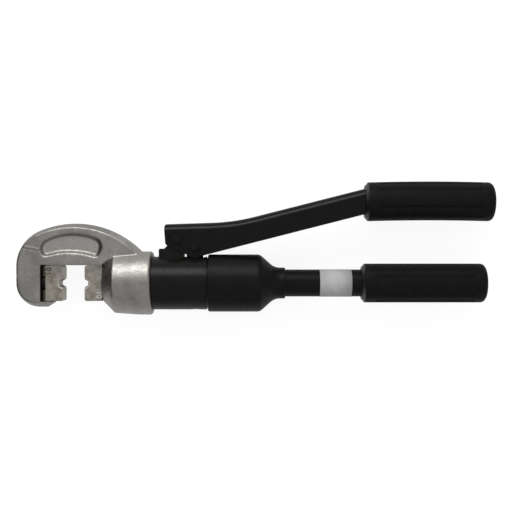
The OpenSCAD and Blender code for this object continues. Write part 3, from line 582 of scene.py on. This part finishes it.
def merged_copy(node: bpy.types.Object, join_within: float = TOUCHING) -> bmesh.types.BMesh:
    """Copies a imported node's triangles into a mesh whose corners are joined.

    Args:
        node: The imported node.
        join_within: Distance within which corners become one.

    Returns:
        The copy, without the node's stored normals.
    """
    data = node.data.copy()
    stored = data.attributes.get("custom_normal")
    if stored is not None:
        data.attributes.remove(stored)
    mesh = bmesh.new()
    mesh.from_mesh(data)
    bpy.data.meshes.remove(data)
    bmesh.ops.remove_doubles(mesh, verts=mesh.verts, dist=join_within)
    return mesh


def rounded_copy(node: bpy.types.Object, cell: float, passes: int, drawn: float) -> bmesh.types.BMesh:
    """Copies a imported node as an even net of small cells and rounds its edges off.

    Args:
        node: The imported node.
        cell: Size of the cells in metres.
        passes: How often the points are drawn towards their neighbours.
        drawn: Share of the way that they go each time.

    Returns:
        The rounded copy.
    """
    holder = placed("work", to_data("work", merged_copy(node)))
    remesh = holder.modifiers.new("cells", "REMESH")
    remesh.mode = "VOXEL"
    remesh.voxel_size = cell
    rounded = shaped(holder)
    take_away(holder)
    for _ in range(passes):
        bmesh.ops.smooth_vert(rounded, verts=rounded.verts, factor=drawn, use_axis_x=True, use_axis_y=True,
                              use_axis_z=True)
    return rounded


def plain_copy(node: bpy.types.Object, join_within: float) -> bmesh.types.BMesh:
    """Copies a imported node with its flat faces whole.

    Args:
        node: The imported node.
        join_within: Distance within which corners become one.

    Returns:
        The copy.
    """
    mesh = merged_copy(node, join_within)
    bmesh.ops.dissolve_degenerate(mesh, edges=mesh.edges, dist=join_within)
    bmesh.ops.dissolve_limit(mesh, angle_limit=FLAT_WITHIN, use_dissolve_boundaries=False,
                             verts=mesh.verts, edges=mesh.edges)
    return mesh


def break_edges(mesh: bmesh.types.BMesh, offset: float,
                spared: set[bmesh.types.BMEdge] | None = None) -> None:
    """Breaks the sharp edges of a copy.

    Args:
        mesh: The copy.
        offset: Width of the broken edges in metres.
        spared: Edges that stay sharp.
    """
    sharp = [edge for edge in mesh.edges if edge.calc_face_angle(0.0) > SHARP_OVER]
    if spared:
        sharp = [edge for edge in sharp if edge not in spared]
    bmesh.ops.bevel(mesh, geom=sharp, affect="EDGES", offset_type="OFFSET", offset=offset, segments=2,
                    profile=0.5, material=-1, clamp_overlap=True)


def even_shading(made: bpy.types.Object) -> None:
    """Keeps a softened piece's flat faces flat in the light."""
    weigh = made.modifiers.new("even_shading", "WEIGHTED_NORMAL")
    weigh.keep_sharp = True


@dataclass
class Head:
    """The forged head: trimmed rim, blasted cheeks, two pockets and a die seat."""

    frame: dict
    cell: float = 0.00052
    passes: int = 3
    drawn: float = 0.5
    cheek_half: float = 0.010
    floor_below: float = 0.0022
    floor_above: float = 0.018
    floor_upright: float = 0.8
    rim_end: float = -0.100
    rim_above: float = 0.02
    rim_back: float = 0.03
    rim_upright: float = 0.7
    rim_blend: float = 0.3
    die_length: float = 0.012
    seat_gap: float = 0.0026
    seat_half: float = 0.0125
    lip_reach: float = 0.0073
    seat_edge: float = 0.0004
    seam_start: tuple[float, float] = (-0.1588, 0.0008)
    seam_end: tuple[float, float] = (-0.1482, -0.0009)
    seam_width: float = 0.0005
    seam_rise: float = 0.00032
    seam_fall: float = 0.00016
    seam_past: float = 0.2
    seam_fade: float = 4.0
    seam_upright: float = 0.3
    fall_off: float = 2.2
    fall_width: float = 1.4
    nick_at: tuple[float, float] = (-0.1660, -0.0190)
    nick_width: float = 0.0008
    nick_depth: float = 0.0006
    nick_reach: float = 3.0

    def build(self) -> None:
        """Rounds the forging off, adds its seam and marks, and dresses it."""
        forging = rounded_copy(self.frame["nodes"]["c_head"], self.cell, self.passes, self.drawn)
        forging.normal_update()
        self.raise_seam(forging)
        forging.normal_update()
        self.mark_skin(forging)
        self.mark_seat(forging)
        made = piece("forged_head", forging, Body.TOOL, Finishes.FORGED)
        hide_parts("c_head")

    @staticmethod
    def middle_of(node: str) -> Vector:
        """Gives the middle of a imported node's box."""
        low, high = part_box(node)
        return (low + high) / 2

    def raise_seam(self, forging: bmesh.types.BMesh) -> None:
        """Raises the forging's fold on the upper cheek and dents the edge of the jaw.

        Args:
            forging: The rounded head.
        """
        start, end = Vector(self.seam_start), Vector(self.seam_end)
        along = end - start
        across = Vector((-along.y, along.x)).normalized()
        middle = self.middle_of("c_head").z
        upper = [vert for vert in forging.verts if vert.co.z > middle]
        for vert in upper:
            place = vert.co.xy - start
            share = place.dot(along) / along.length_squared
            inside = min(share + self.seam_past, 1 + self.seam_past - share)
            if vert.normal.z > self.seam_upright and inside > 0:
                off = place.dot(across) / self.seam_width
                fade = min(1.0, self.seam_fade * inside)
                vert.co.z += fade * self.seam_rise * math.exp(-off * off)
                vert.co.z -= fade * self.seam_fall * math.exp(-((off + self.fall_off) / self.fall_width) ** 2)
            dent = (vert.co.xy - Vector(self.nick_at)).length / self.nick_width
            if dent < self.nick_reach:
                vert.co.x += self.nick_depth * math.exp(-dent * dent)

    def mark_skin(self, forging: bmesh.types.BMesh) -> None:
        """Marks the rim's side walls for painted shade and the pocket floors for painted light on the points.

        Args:
            forging: The rounded head.
        """
        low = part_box("c_head")[0]
        middle = self.middle_of("c_head").z
        axis_y = self.middle_of("ram").y
        rim = forging.verts.layers.float.new("rim")
        floor = forging.verts.layers.float.new("floor")
        for vert in forging.verts:
            upright = abs(vert.normal.z)
            outer = vert.co.y > axis_y + self.rim_above or vert.co.x < low.x + self.rim_back
            # Side walls of the rim get painted shade, more the further they turn from facing up.
            if vert.co.x < self.rim_end and outer:
                vert[rim] = max(0.0, min(1.0, (self.rim_upright - upright) / self.rim_blend))
            # Upward pocket floors get painted light.
            sunk = self.cheek_half - abs(vert.co.z - middle)
            pocketed = sunk > self.floor_below and vert.co.y > axis_y + self.floor_above
            if pocketed and upright > self.floor_upright:
                vert[floor] = 1.0

    def mark_seat(self, forging: bmesh.types.BMesh) -> None:
        """Marks the walls round the fixed die for painted shade on the points.

        Args:
            forging: The rounded head.
        """
        axis_y = self.middle_of("ram").y
        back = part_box("fixed_die")[1].x - self.die_length
        seat = forging.verts.layers.float.new("seat")
        # The walls behind and under the fixed die get painted shade.
        for vert in forging.verts:
            behind = back - self.seat_gap - self.seat_edge < vert.co.x < back + self.seat_edge
            under = vert.co.x < back + self.lip_reach and vert.co.y < axis_y - self.seat_half + self.seat_edge
            inside = abs(vert.co.y - axis_y) < self.seat_half + self.seat_edge
            if inside and vert.co.x > back - self.seat_gap - self.seat_edge and (behind or under):
                vert[seat] = 1.0


@dataclass
class Die:
    """A die half with broken edges and its size stamped in."""

    frame: dict
    node: str
    body: Body
    stamp_at: tuple[float, float]
    stamp_turn: float
    stamp_finish: Finish
    facing: int
    # Painted shade or painted highlight for the notch's walls.
    notch_wall: Skin
    edge: float = 0.0004
    length: float = 0.012
    notch_reach: float = 0.0062
    size_mark: str = "10"
    mark_height: float = 0.0054
    mark_depth: float = 0.0004
    mark_widen: float = 0.00008
    least_tilt: float = 0.3
    most_tilt: float = 0.95

    def build(self) -> None:
        """Breaks the edges, stamps the size and dresses the die."""
        solid = plain_copy(self.frame["nodes"][self.node], SAME_POINT)
        break_edges(solid, self.edge, self.notch_edges(solid))
        stamped = self.stamp(solid)
        self.pick_finishes(stamped)
        made = piece(self.node + "_half", stamped, self.body, Finishes.DIE)
        for finish in (self.stamp_finish, Finishes.DIE_EDGE, Finishes.DIE_RIM, Finishes.DIE_SHANK):
            made.data.materials.append(finish.material())
        even_shading(made)
        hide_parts(self.node)

    def stamp(self, solid: bmesh.types.BMesh) -> bmesh.types.BMesh:
        """Sinks the size mark into the die.

        Args:
            solid: The die with broken edges, which is freed here.

        Returns:
            The stamped die, whose sunk faces have the stamp's finish.
        """
        holder = placed("work_die", to_data("work_die", solid))
        holder.data.materials.append(Finishes.DIE.material())
        punch = self.punch()
        cut = holder.modifiers.new("stamp", "BOOLEAN")
        cut.operation = "DIFFERENCE"
        cut.solver = "EXACT"
        cut.material_mode = "TRANSFER"
        cut.object = punch
        stamped = shaped(holder)
        take_away(holder)
        take_away(punch)
        return stamped

    def notch_edges(self, die: bmesh.types.BMesh) -> set[bmesh.types.BMEdge]:
        """Finds the edges in the notch, away from the die's flat faces.

        Args:
            die: The plain copy of the die.

        Returns:
            The edges in the notch.
        """
        low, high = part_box(self.node)
        front = high.x if self.facing > 0 else low.x
        found = set()
        for edge in die.edges:
            middle = (edge.verts[0].co + edge.verts[1].co) / 2
            reach = math.hypot(middle.x - front, middle.y - (low.y + high.y) / 2)
            if reach < self.notch_reach and low.z + self.edge < middle.z < high.z - self.edge:
                found.add(edge)
        return found

    def pick_finishes(self, die: bmesh.types.BMesh) -> None:
        """Gives the front edges painted shade, the notch's rim painted highlight, the notch's walls one of
        these two, and the shank its own finish.

        Args:
            die: The stamped die.
        """
        low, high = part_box(self.node)
        front = high.x if self.facing > 0 else low.x
        axis_y = (low.y + high.y) / 2
        for face in die.faces:
            middle = face.calc_center_median()
            inwards = (front - middle.x) * self.facing
            reach = math.hypot(middle.x - front, middle.y - axis_y)
            tilted = self.least_tilt < abs(face.normal.z) < self.most_tilt
            walled = abs(face.normal.z) < self.least_tilt and abs(face.normal.x) < self.most_tilt
            if inwards > self.length + self.edge:
                face.material_index = Skin.SHANK
            # The notch's rim takes painted highlight; its walls take painted shade or painted highlight.
            elif face.material_index == Skin.FLAT and reach < self.notch_reach and (tilted or walled):
                face.material_index = Skin.RIM if tilted else self.notch_wall
            # The front bevels take painted shade.
            elif face.material_index == Skin.FLAT and tilted and inwards < 2 * self.edge:
                face.material_index = Skin.EDGE

    def punch(self) -> bpy.types.Object:
        """Makes the punch that sinks the size mark, as a solid at its place.

        Returns:
            The punch, which is taken away after the cut.
        """
        words = bpy.data.curves.new("punch", "FONT")
        words.body = self.size_mark
        words.align_x = "CENTER"
        words.align_y = "CENTER"
        words.size = self.mark_height
        words.offset = self.mark_widen
        words.extrude = self.mark_depth
        flat = placed("punch", words)
        mesh = shaped(flat)
        bpy.data.objects.remove(flat)
        bpy.data.curves.remove(words)
        bmesh.ops.remove_doubles(mesh, verts=mesh.verts, dist=TOUCHING)
        bmesh.ops.recalc_face_normals(mesh, faces=mesh.faces)
        turn = Matrix.Rotation(math.radians(self.stamp_turn), 3, "Z")
        bmesh.ops.rotate(mesh, verts=mesh.verts, cent=(0, 0, 0), matrix=turn)
        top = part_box(self.node)[1].z
        bmesh.ops.translate(mesh, verts=mesh.verts, vec=(*self.stamp_at, top))
        made = placed("punch", to_data("punch", mesh))
        made.data.materials.append(self.stamp_finish.material())
        return made


@dataclass
class LugRoot:
    """Cast forms round the lug: the slope in its front corner and the boss round the plunger."""

    front: float = -0.0636
    back: float = -0.0598
    foot: float = -0.0006
    rise: float = 0.0036
    hollow: float = 1.8
    steps: int = 8
    half: float = 0.005
    boss_top: float = -0.0045
    boss_base: float = -0.0085
    boss_bore: float = 0.00465
    boss_radius: float = 0.0052
    boss_edge: float = 0.0003
    boss_stretch: float = 1.25
    slices: int = 48

    def build(self) -> None:
        """Builds and dresses the slope and the boss."""
        low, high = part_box("pump_body")
        self.build_slope((low.z + high.z) / 2)
        self.build_boss()

    def build_slope(self, middle: float) -> None:
        """Draws the slope's side and gives it the lug's thickness.

        Args:
            middle: Height of the lug's middle plane.
        """
        mesh = bmesh.new()
        length = self.back - self.front
        shares = [step / self.steps for step in range(self.steps + 1)]
        corners = [(self.front + length * share, self.foot + self.rise * share ** self.hollow)
                   for share in shares]
        corners.append((self.back, self.foot))
        side = mesh.faces.new([mesh.verts.new((along, up, middle - self.half)) for along, up in corners])
        grown = bmesh.ops.extrude_face_region(mesh, geom=[side])
        moved = [part for part in grown["geom"] if isinstance(part, bmesh.types.BMVert)]
        bmesh.ops.translate(mesh, verts=moved, vec=(0, 0, 2 * self.half))
        bmesh.ops.recalc_face_normals(mesh, faces=mesh.faces)
        even_shading(piece("lug_slope", mesh, Body.TOOL, Finishes.BLACK_STEEL))

    def build_boss(self) -> None:
        """Turns the ring that stands round the plunger's gland."""
        low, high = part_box("plunger_gland")
        middle = (low + high) / 2
        rim = self.boss_radius - self.boss_edge
        mesh = bmesh.new()
        section = ((self.boss_bore, self.boss_base), (self.boss_radius, self.boss_base),
                   (self.boss_radius, self.boss_top - self.boss_edge), (rim, self.boss_top),
                   (self.boss_bore, self.boss_top))
        line = [mesh.verts.new((middle.x + out, up, middle.z)) for out, up in section]
        edges = [mesh.edges.new(pair) for pair in zip(line, line[1:] + line[:1])]
        bmesh.ops.spin(mesh, geom=line + edges, cent=middle, axis=(0, 1, 0), dvec=(0, 0, 0),
                       angle=math.tau, steps=self.slices, use_merge=True, use_duplicate=False)
        bmesh.ops.remove_doubles(mesh, verts=mesh.verts, dist=SAME_POINT)
        bmesh.ops.recalc_face_normals(mesh, faces=mesh.faces)
        left = [vert for vert in mesh.verts if vert.co.x < middle.x]
        bmesh.ops.scale(mesh, verts=left, vec=(self.boss_stretch, 1, 1), space=Matrix.Translation(-middle))
        even_shading(piece("plunger_boss", mesh, Body.TOOL, Finishes.BLACK_STEEL))


@dataclass
class Lever:
    """The pressed channel of the lever, with full bends and broken edges."""

    frame: dict
    edge: float = 0.00035
    bend: float = 0.0036
    fuller_bend: float = 0.0055
    slack: float = 0.00012
    past_end: float = 0.3
    past_joint: float = 0.02
    join_within: float = 3e-5
    web_upright: float = 0.2
    digits: int = 5
    shortest: float = 1e-5

    def build(self) -> None:
        """Widens the bends of the channel, breaks its edges and dresses it."""
        channel = plain_copy(self.frame["nodes"]["lever_arm"], self.join_within)
        self.widen_bends(channel)
        break_edges(channel, self.edge)
        made = piece("lever_channel", channel, Body.LEVER, Finishes.PAINT)
        even_shading(made)
        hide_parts("lever_arm")

    def widen_bends(self, channel: bmesh.types.BMesh) -> None:
        """Gives the outer bends between the web and the cheeks their fuller radius.

        Args:
            channel: The plain copy of the lever.
        """
        low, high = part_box("lever_arm")
        middle = (low.z + high.z) / 2
        start = (high.z - low.z) / 2 - self.bend
        grown = self.fuller_bend - self.bend
        channel.normal_update()
        top = [vert for vert in channel.verts
               if abs(abs(vert.co.z - middle) - start) < self.slack and vert.normal.y > self.web_upright]
        crest = sorted({(round(vert.co.x, self.digits), round(vert.co.y, self.digits)) for vert in top})
        moves = []
        for vert in channel.verts:
            side = math.copysign(1.0, vert.co.z - middle)
            out = abs(vert.co.z - middle) - start
            depth, up = self.below(crest, vert.co.xy)
            reach = math.hypot(out, self.bend - depth)
            if out > -self.slack and depth < self.bend + self.slack and abs(reach - self.bend) < self.slack:
                turn = math.atan2(max(out, 0.0), max(self.bend - depth, 0.0))
                drop = grown * (math.cos(turn) - 1)
                moves.append((vert, Vector((up.x * drop, up.y * drop, side * grown * (math.sin(turn) - 1)))))
        for vert, move in moves:
            vert.co += move
        LOG.info("lever bends: %d points moved, crest of %d", len(moves), len(crest))

    def below(self, crest: list[tuple[float, float]], place: Vector) -> tuple[float, Vector]:
        """Measures how far a place lies under the web's outer face.

        Args:
            crest: Corners of the web's outer face, along the lever.
            place: Place in the plane of the cheeks.

        Returns:
            The least depth, and the direction away from the web there.
        """
        found = (math.inf, Vector((0.0, 1.0)))
        for start, end in zip(crest, crest[1:]):
            along = Vector(end) - Vector(start)
            if along.length < self.shortest:
                continue
            up = Vector((-along.y, along.x)).normalized()
            share = (place - Vector(start)).dot(along) / along.length_squared
            depth = (Vector(start) - place).dot(up)
            least = -self.past_end if start == crest[0] else -self.past_joint
            most = 1 + (self.past_end if end == crest[-1] else self.past_joint)
            if least < share < most and abs(depth) < abs(found[0]):
                found = (depth, up)
        return found


@dataclass
class Grip:
    """A moulded grip: plain bands at its ends and sunk grooves along the middle."""

    node: str
    body: Body
    arch: float
    turned: float
    bore: float
    rim_along: float = 0.0021
    rim_down: float = 0.0024
    end_round: float = 0.0034
    front_band: float = 0.0092
    end_band: float = 0.0084
    spans: int = 20
    slices: int = 84
    wall: float = 0.0042
    grooves: tuple[float, ...] = (26.0, 57.0, 88.0)
    groove_half: float = 6.5
    groove_depth: float = 0.0007
    groove_wall: float = 0.00095
    parting_rise: float = 0.00012
    edge: float = 0.0002
    facing: float = -0.3
    round_steps: int = 4
    outer_share: float = 0.9
    sharp_over: float = 22.0

    def outline(self, start: float, end: float, radius: float) -> list[tuple[float, float]]:
        """Lists the half section from the floor of the bore round to the closed end.

        Args:
            start: Front of the grip along its axis.
            end: Closed end of the grip.
            radius: Outer radius.

        Returns:
            Pairs of place along the axis and radius.
        """
        turn = [math.radians(90 * step / self.round_steps) for step in range(self.round_steps + 1)]
        points = [(start, 0.0)]
        if self.bore:
            floor = end - self.wall
            points = [(floor, 0.0), (floor, self.bore), (start, self.bore)]
        points += [(start, radius - self.rim_down), (start + self.rim_along, radius)]
        front = start + self.front_band
        back = end - self.end_band
        points += [(front + (back - front) * step / self.spans, radius) for step in range(self.spans + 1)]
        rounding = self.end_round
        points += [(end - rounding * (1 - math.sin(a)), radius - rounding * (1 - math.cos(a))) for a in turn]
        return points + [(end, 0.0)]

    def build(self) -> None:
        """Turns the grip, sinks its grooves, bends it and dresses it."""
        low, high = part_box(self.node)
        radius = (high.z - low.z) / 2
        mesh = bmesh.new()
        line = [mesh.verts.new((along, 0, out)) for along, out in self.outline(low.x, high.x, radius)]
        edges = [mesh.edges.new(pair) for pair in zip(line, line[1:])]
        bmesh.ops.spin(mesh, geom=line + edges, cent=(0, 0, 0), axis=(1, 0, 0), dvec=(0, 0, 0),
                       angle=math.tau, steps=self.slices, use_merge=True, use_duplicate=False)
        bmesh.ops.remove_doubles(mesh, verts=mesh.verts, dist=SAME_POINT)
        bmesh.ops.recalc_face_normals(mesh, faces=mesh.faces)
        self.sink_grooves(mesh, low.x, high.x, radius)
        mesh.normal_update()
        for face in mesh.faces:
            at_rim = face.normal.x < self.facing and face.calc_center_median().x < low.x + self.rim_along
            face.material_index = int(at_rim)
        self.set_down(mesh, low, high, radius)
        made = piece(self.node.replace("_grip", "_handgrip"), mesh, self.body, Finishes.GRIP)
        made.data.materials.append(Finishes.GRIP_RIM.material())
        rounding = made.modifiers.new("soft_edges", "BEVEL")
        rounding.width = self.edge
        rounding.segments = 2
        rounding.limit_method = "ANGLE"
        rounding.angle_limit = math.radians(self.sharp_over)
        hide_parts(self.node)

    def sink_grooves(self, mesh: bmesh.types.BMesh, start: float, end: float, radius: float) -> None:
        """Sinks the grooves and raises the two parting lines of the mould.

        Args:
            mesh: The turned grip about the X axis.
            start: Front of the grip along its axis.
            end: Closed end of the grip.
            radius: Outer radius.
        """
        sunk = []
        for face in mesh.faces:
            middle = face.calc_center_median()
            ribbed = start + self.front_band < middle.x < end - self.end_band
            if not ribbed or middle.yz.length < self.outer_share * radius:
                continue
            angle = math.degrees(math.atan2(abs(middle.y), abs(middle.z)))
            if min(abs(angle - groove) for groove in self.grooves) < self.groove_half:
                sunk.append(face)
        slice_angle = math.tau / self.slices
        for vert in mesh.verts:
            off = math.atan2(abs(vert.co.y), abs(vert.co.z))
            if vert.co.yz.length > self.outer_share * radius and off < slice_angle / 2:
                vert.co.z += math.copysign(self.parting_rise, vert.co.z)
        bmesh.ops.inset_region(mesh, faces=sunk, use_boundary=True, use_even_offset=True,
                               thickness=self.groove_wall, depth=-self.groove_depth)

    def set_down(self, mesh: bmesh.types.BMesh, low: Vector, high: Vector, radius: float) -> None:
        """Turns the grip on its handle, arches it and moves it to its place.

        Args:
            mesh: The grip about the X axis.
            low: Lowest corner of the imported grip.
            high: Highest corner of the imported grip.
            radius: Outer radius.
        """
        turn = Matrix.Rotation(math.radians(self.turned), 3, "X")
        bmesh.ops.rotate(mesh, verts=mesh.verts, cent=(0, 0, 0), matrix=turn)
        middle, half = (low.x + high.x) / 2, (high.x - low.x) / 2
        for vert in mesh.verts:
            vert.co.y -= self.arch * ((vert.co.x - middle) / half) ** 2
        place = Vector((0, low.y + radius, low.z + radius))
        bmesh.ops.translate(mesh, verts=mesh.verts, vec=place)


@dataclass
class Label:
    """A bare foil band round the handle tube."""

    tube: str = "handle_tube"
    start: float = 0.0455
    length: float = 0.0221
    lift: float = 0.00014
    slices: int = 72
    gap: float = 40.0

    def build(self) -> None:
        """Rolls the band on the tube and dresses it."""
        low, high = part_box(self.tube)
        radius = (high.z - low.z) / 2
        middle = (low.z + high.z) / 2
        axis_y = (low.y + high.y) / 2
        mesh = bmesh.new()
        ends = (self.start, self.start + self.length)
        edge = [mesh.verts.new((along, axis_y, middle - radius - self.lift)) for along in ends]
        side = mesh.edges.new(edge)
        turn = math.radians(360 - self.gap)
        bmesh.ops.spin(mesh, geom=edge + [side], cent=(0, axis_y, middle), axis=(1, 0, 0), dvec=(0, 0, 0),
                       angle=turn, steps=self.slices, use_duplicate=False)
        bmesh.ops.rotate(mesh, verts=mesh.verts, cent=(0, axis_y, middle),
                         matrix=Matrix.Rotation(math.radians(self.gap / 2), 3, "X"))
        bmesh.ops.recalc_face_normals(mesh, faces=mesh.faces)
        bmesh.ops.solidify(mesh, geom=mesh.faces, thickness=self.lift)
        piece("label_band", mesh, Body.TOOL, Finishes.FOIL)


@dataclass
class Coil:
    """A hidden spring, copied and dressed."""

    frame: dict
    node: str
    joint: str
    axis: int
    travel: float
    held_high: bool = False

    def build(self) -> None:
        """Copies the spring and dresses it."""
        mesh = merged_copy(self.frame["nodes"][self.node])
        made = piece(self.node.replace("_spring", "_coil"), mesh, Body.TOOL, Finishes.SPRING)
        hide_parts(self.node)
        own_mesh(made)


@dataclass
class Stage:
    """Camera, white table and soft light."""

    camera_at: tuple[float, float, float] = (0.00116, -0.00557, 0.6381)
    lens: float = 61.87
    sensor: float = 36.0
    nearest: float = 0.01
    lamp_power: float = 5.4
    lamp_size: tuple[float, float] = (0.85, 0.55)
    lamp_shift: float = -0.3
    lamp_reach: float = 1.1
    lamp_lean: float = 52.0
    overhead: float = 0.485
    horizon: float = 0.42
    sky_angles: tuple[float, float] = (14.0, 42.0)
    shaded_side: float = 0.95
    shaded_span: tuple[float, float] = (-0.7, 0.3)
    table_half: float = 6.0
    table_tones: tuple[int, int] = (158, 162)
    table_rough: float = 0.9
    table_shine: float = 0.1
    cloud_scale: float = 3.0
    cloud_detail: float = 2.0
    table_glow: float = 0.86
    mirrored_glow: float = 0.4
    card_at: float = -0.34
    card_half: tuple[float, float] = (0.34, 0.17)

    def build(self) -> None:
        """Places the camera, the table, the lamp and the surroundings."""
        self.place_camera()
        self.place_table()
        self.place_card()
        self.place_lamp()
        self.light_room()
        bpy.context.scene.view_settings.view_transform = "Standard"

    def place_camera(self) -> None:
        """Places the camera straight above the tool."""
        data = bpy.data.cameras.new("camera")
        data.sensor_fit = "HORIZONTAL"
        data.sensor_width = self.sensor
        data.lens = self.lens
        data.clip_start = self.nearest
        camera = placed("camera", data)
        camera.location = self.camera_at
        bpy.context.scene.camera = camera

    def place_table(self) -> None:
        """Lays the white table under the tool."""
        mesh = bmesh.new()
        bmesh.ops.create_grid(mesh, x_segments=4, y_segments=4, size=self.table_half)
        table = placed("table", to_data("table", mesh))
        material = bpy.data.materials.new("table_white")
        graph = Graph(material)
        graph.shader.inputs["Roughness"].default_value = self.table_rough
        graph.shader.inputs["Specular IOR Level"].default_value = self.table_shine
        cloud = graph.noise(self.cloud_scale, self.cloud_detail)
        dark, light = (tone(level, level, level) for level in self.table_tones)
        ramp = graph.ramp(cloud, [(0.0, dark), (1.0, light)])
        graph.join(ramp, "Color", graph.shader, "Base Color")
        glow = self.seen_rays(graph)
        graph.join(glow, "Value", graph.shader, "Emission Strength")
        graph.shader.inputs["Emission Color"].default_value = (1, 1, 1, 1)
        table.data.materials.append(material)

    def seen_rays(self, graph: Graph) -> bpy.types.Node:
        """Adds the glow that keeps the table white to the camera and pale in reflections.

        Args:
            graph: The table's node tree.

        Returns:
            The node whose Value is the strength of the glow.
        """
        path = graph.tree.nodes.new("ShaderNodeLightPath")
        mirrored = maths(graph.tree, "MAXIMUM")
        graph.join(path, "Is Glossy Ray", mirrored, 0)
        graph.join(path, "Is Transmission Ray", mirrored, 1)
        dimmed = maths(graph.tree, "MULTIPLY")
        dimmed.inputs[1].default_value = self.mirrored_glow
        graph.join(mirrored, "Value", dimmed, 0)
        glow = maths(graph.tree, "MULTIPLY_ADD")
        glow.inputs[1].default_value = self.table_glow
        graph.join(path, "Is Camera Ray", glow, 0)
        graph.join(dimmed, "Value", glow, 2)
        return glow

    def place_card(self) -> None:
        """Stands a dark card beside the head, which only reflections show."""
        mesh = bmesh.new()
        bmesh.ops.create_grid(mesh, x_segments=2, y_segments=2, size=1.0)
        deep, high = self.card_half
        bmesh.ops.scale(mesh, verts=mesh.verts, vec=(high, deep, 1.0))
        upright = Matrix.Rotation(math.radians(90), 3, "Y")
        bmesh.ops.rotate(mesh, verts=mesh.verts, cent=(0, 0, 0), matrix=upright)
        bmesh.ops.translate(mesh, verts=mesh.verts, vec=(self.card_at, 0, high))
        card = placed("dark_card", to_data("dark_card", mesh))
        card.data.materials.append(Finishes.CARD.material())
        card.visible_camera = False
        card.visible_diffuse = False
        card.visible_transmission = False
        card.visible_shadow = False

    def place_lamp(self) -> None:
        """Hangs one wide soft lamp on the lever's side."""
        data = bpy.data.lights.new("softbox", "AREA")
        data.shape = "RECTANGLE"
        data.size, data.size_y = self.lamp_size
        data.energy = self.lamp_power
        lamp = placed("softbox", data)
        lean = math.radians(self.lamp_lean)
        lamp.matrix_world = (Matrix.Rotation(-lean, 4, "X")
                             @ Matrix.Translation((self.lamp_shift, 0, self.lamp_reach)))

    def light_room(self) -> None:
        """Lights the room: a little brighter overhead than at the horizon, and white to the camera."""
        world = bpy.data.worlds.new("room")
        world.use_nodes = True
        tree = world.node_tree
        sky = tree.nodes["Background"]
        place = tree.nodes.new("ShaderNodeTexCoord")
        split = tree.nodes.new("ShaderNodeSeparateXYZ")
        low, high = (math.sin(math.radians(angle)) for angle in self.sky_angles)
        level = map_range(tree, (low, high), (self.horizon, self.overhead))
        level.interpolation_type = "SMOOTHSTEP"
        side = map_range(tree, self.shaded_span, (self.shaded_side, 1.0))
        both = maths(tree, "MULTIPLY")
        path = tree.nodes.new("ShaderNodeLightPath")
        seen = maths(tree, "MAXIMUM")
        joints = [(place, "Generated", split, "Vector"), (split, "Z", level, "Value"),
                  (split, "Y", side, "Value"), (level, "Result", both, 0), (side, "Result", both, 1),
                  (both, "Value", seen, 0), (path, "Is Camera Ray", seen, 1),
                  (seen, "Value", sky, "Strength")]
        for start, out, end, into in joints:
            tree.links.new(start.outputs[out], end.inputs[into])
        sky.inputs["Color"].default_value = (1, 1, 1, 1)
        bpy.context.scene.world = world


def dress_nodes(frame: dict) -> None:
    """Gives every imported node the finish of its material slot.

    Args:
        frame: The loaded frame.
    """
    for name, node in frame["nodes"].items():
        slot = node.data.materials[0].name.split(".")[0]
        finish = Finishes.BY_NODE.get(name) or Finishes.by_slot(slot)
        node.material_slots[0].material = finish.material()
        LOG.info("%s takes %s", name, finish.name)


def main() -> None:
    """Builds and dresses the whole tool."""
    logging.basicConfig(level=logging.INFO, format="%(name)s %(message)s")
    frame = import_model()
    Stage().build()
    dress_nodes(frame)
    parts: list[Callable[[], None]] = [
        Head(frame).build,
        # The fixed die's notch walls take painted shade.
        Die(frame, "fixed_die", Body.TOOL, stamp_at=(-0.1424, -0.0163), stamp_turn=90,
            stamp_finish=Finishes.DARK_STAMP, facing=1, notch_wall=Skin.EDGE).build,
        # The moving die's stamp and notch walls take painted highlight.
        Die(frame, "moving_die", Body.RAM, stamp_at=(-0.1078, -0.0323), stamp_turn=-90,
            stamp_finish=Finishes.LIGHT_STAMP, facing=-1, notch_wall=Skin.RIM).build,
        LugRoot().build,
        Lever(frame).build,
        Grip("fixed_grip", Body.TOOL, arch=0.0, turned=7.0, bore=0.0096).build,
        Grip("lever_grip", Body.LEVER, arch=0.0007, turned=-5.0, bore=0.0).build,
        Label().build,
        Coil(frame, "return_spring", "ram_slide", axis=0, travel=0.0148).build,
        Coil(frame, "intake_spring", "intake_lift", axis=0, travel=0.0008).build,
        Coil(frame, "outlet_spring", "outlet_lift", axis=1, travel=0.0008).build,
        Coil(frame, "relief_spring", "relief_lift", axis=0, travel=0.0008, held_high=True).build,
    ]
    for build in parts:
        build()


if __name__ == "__main__":
    main()
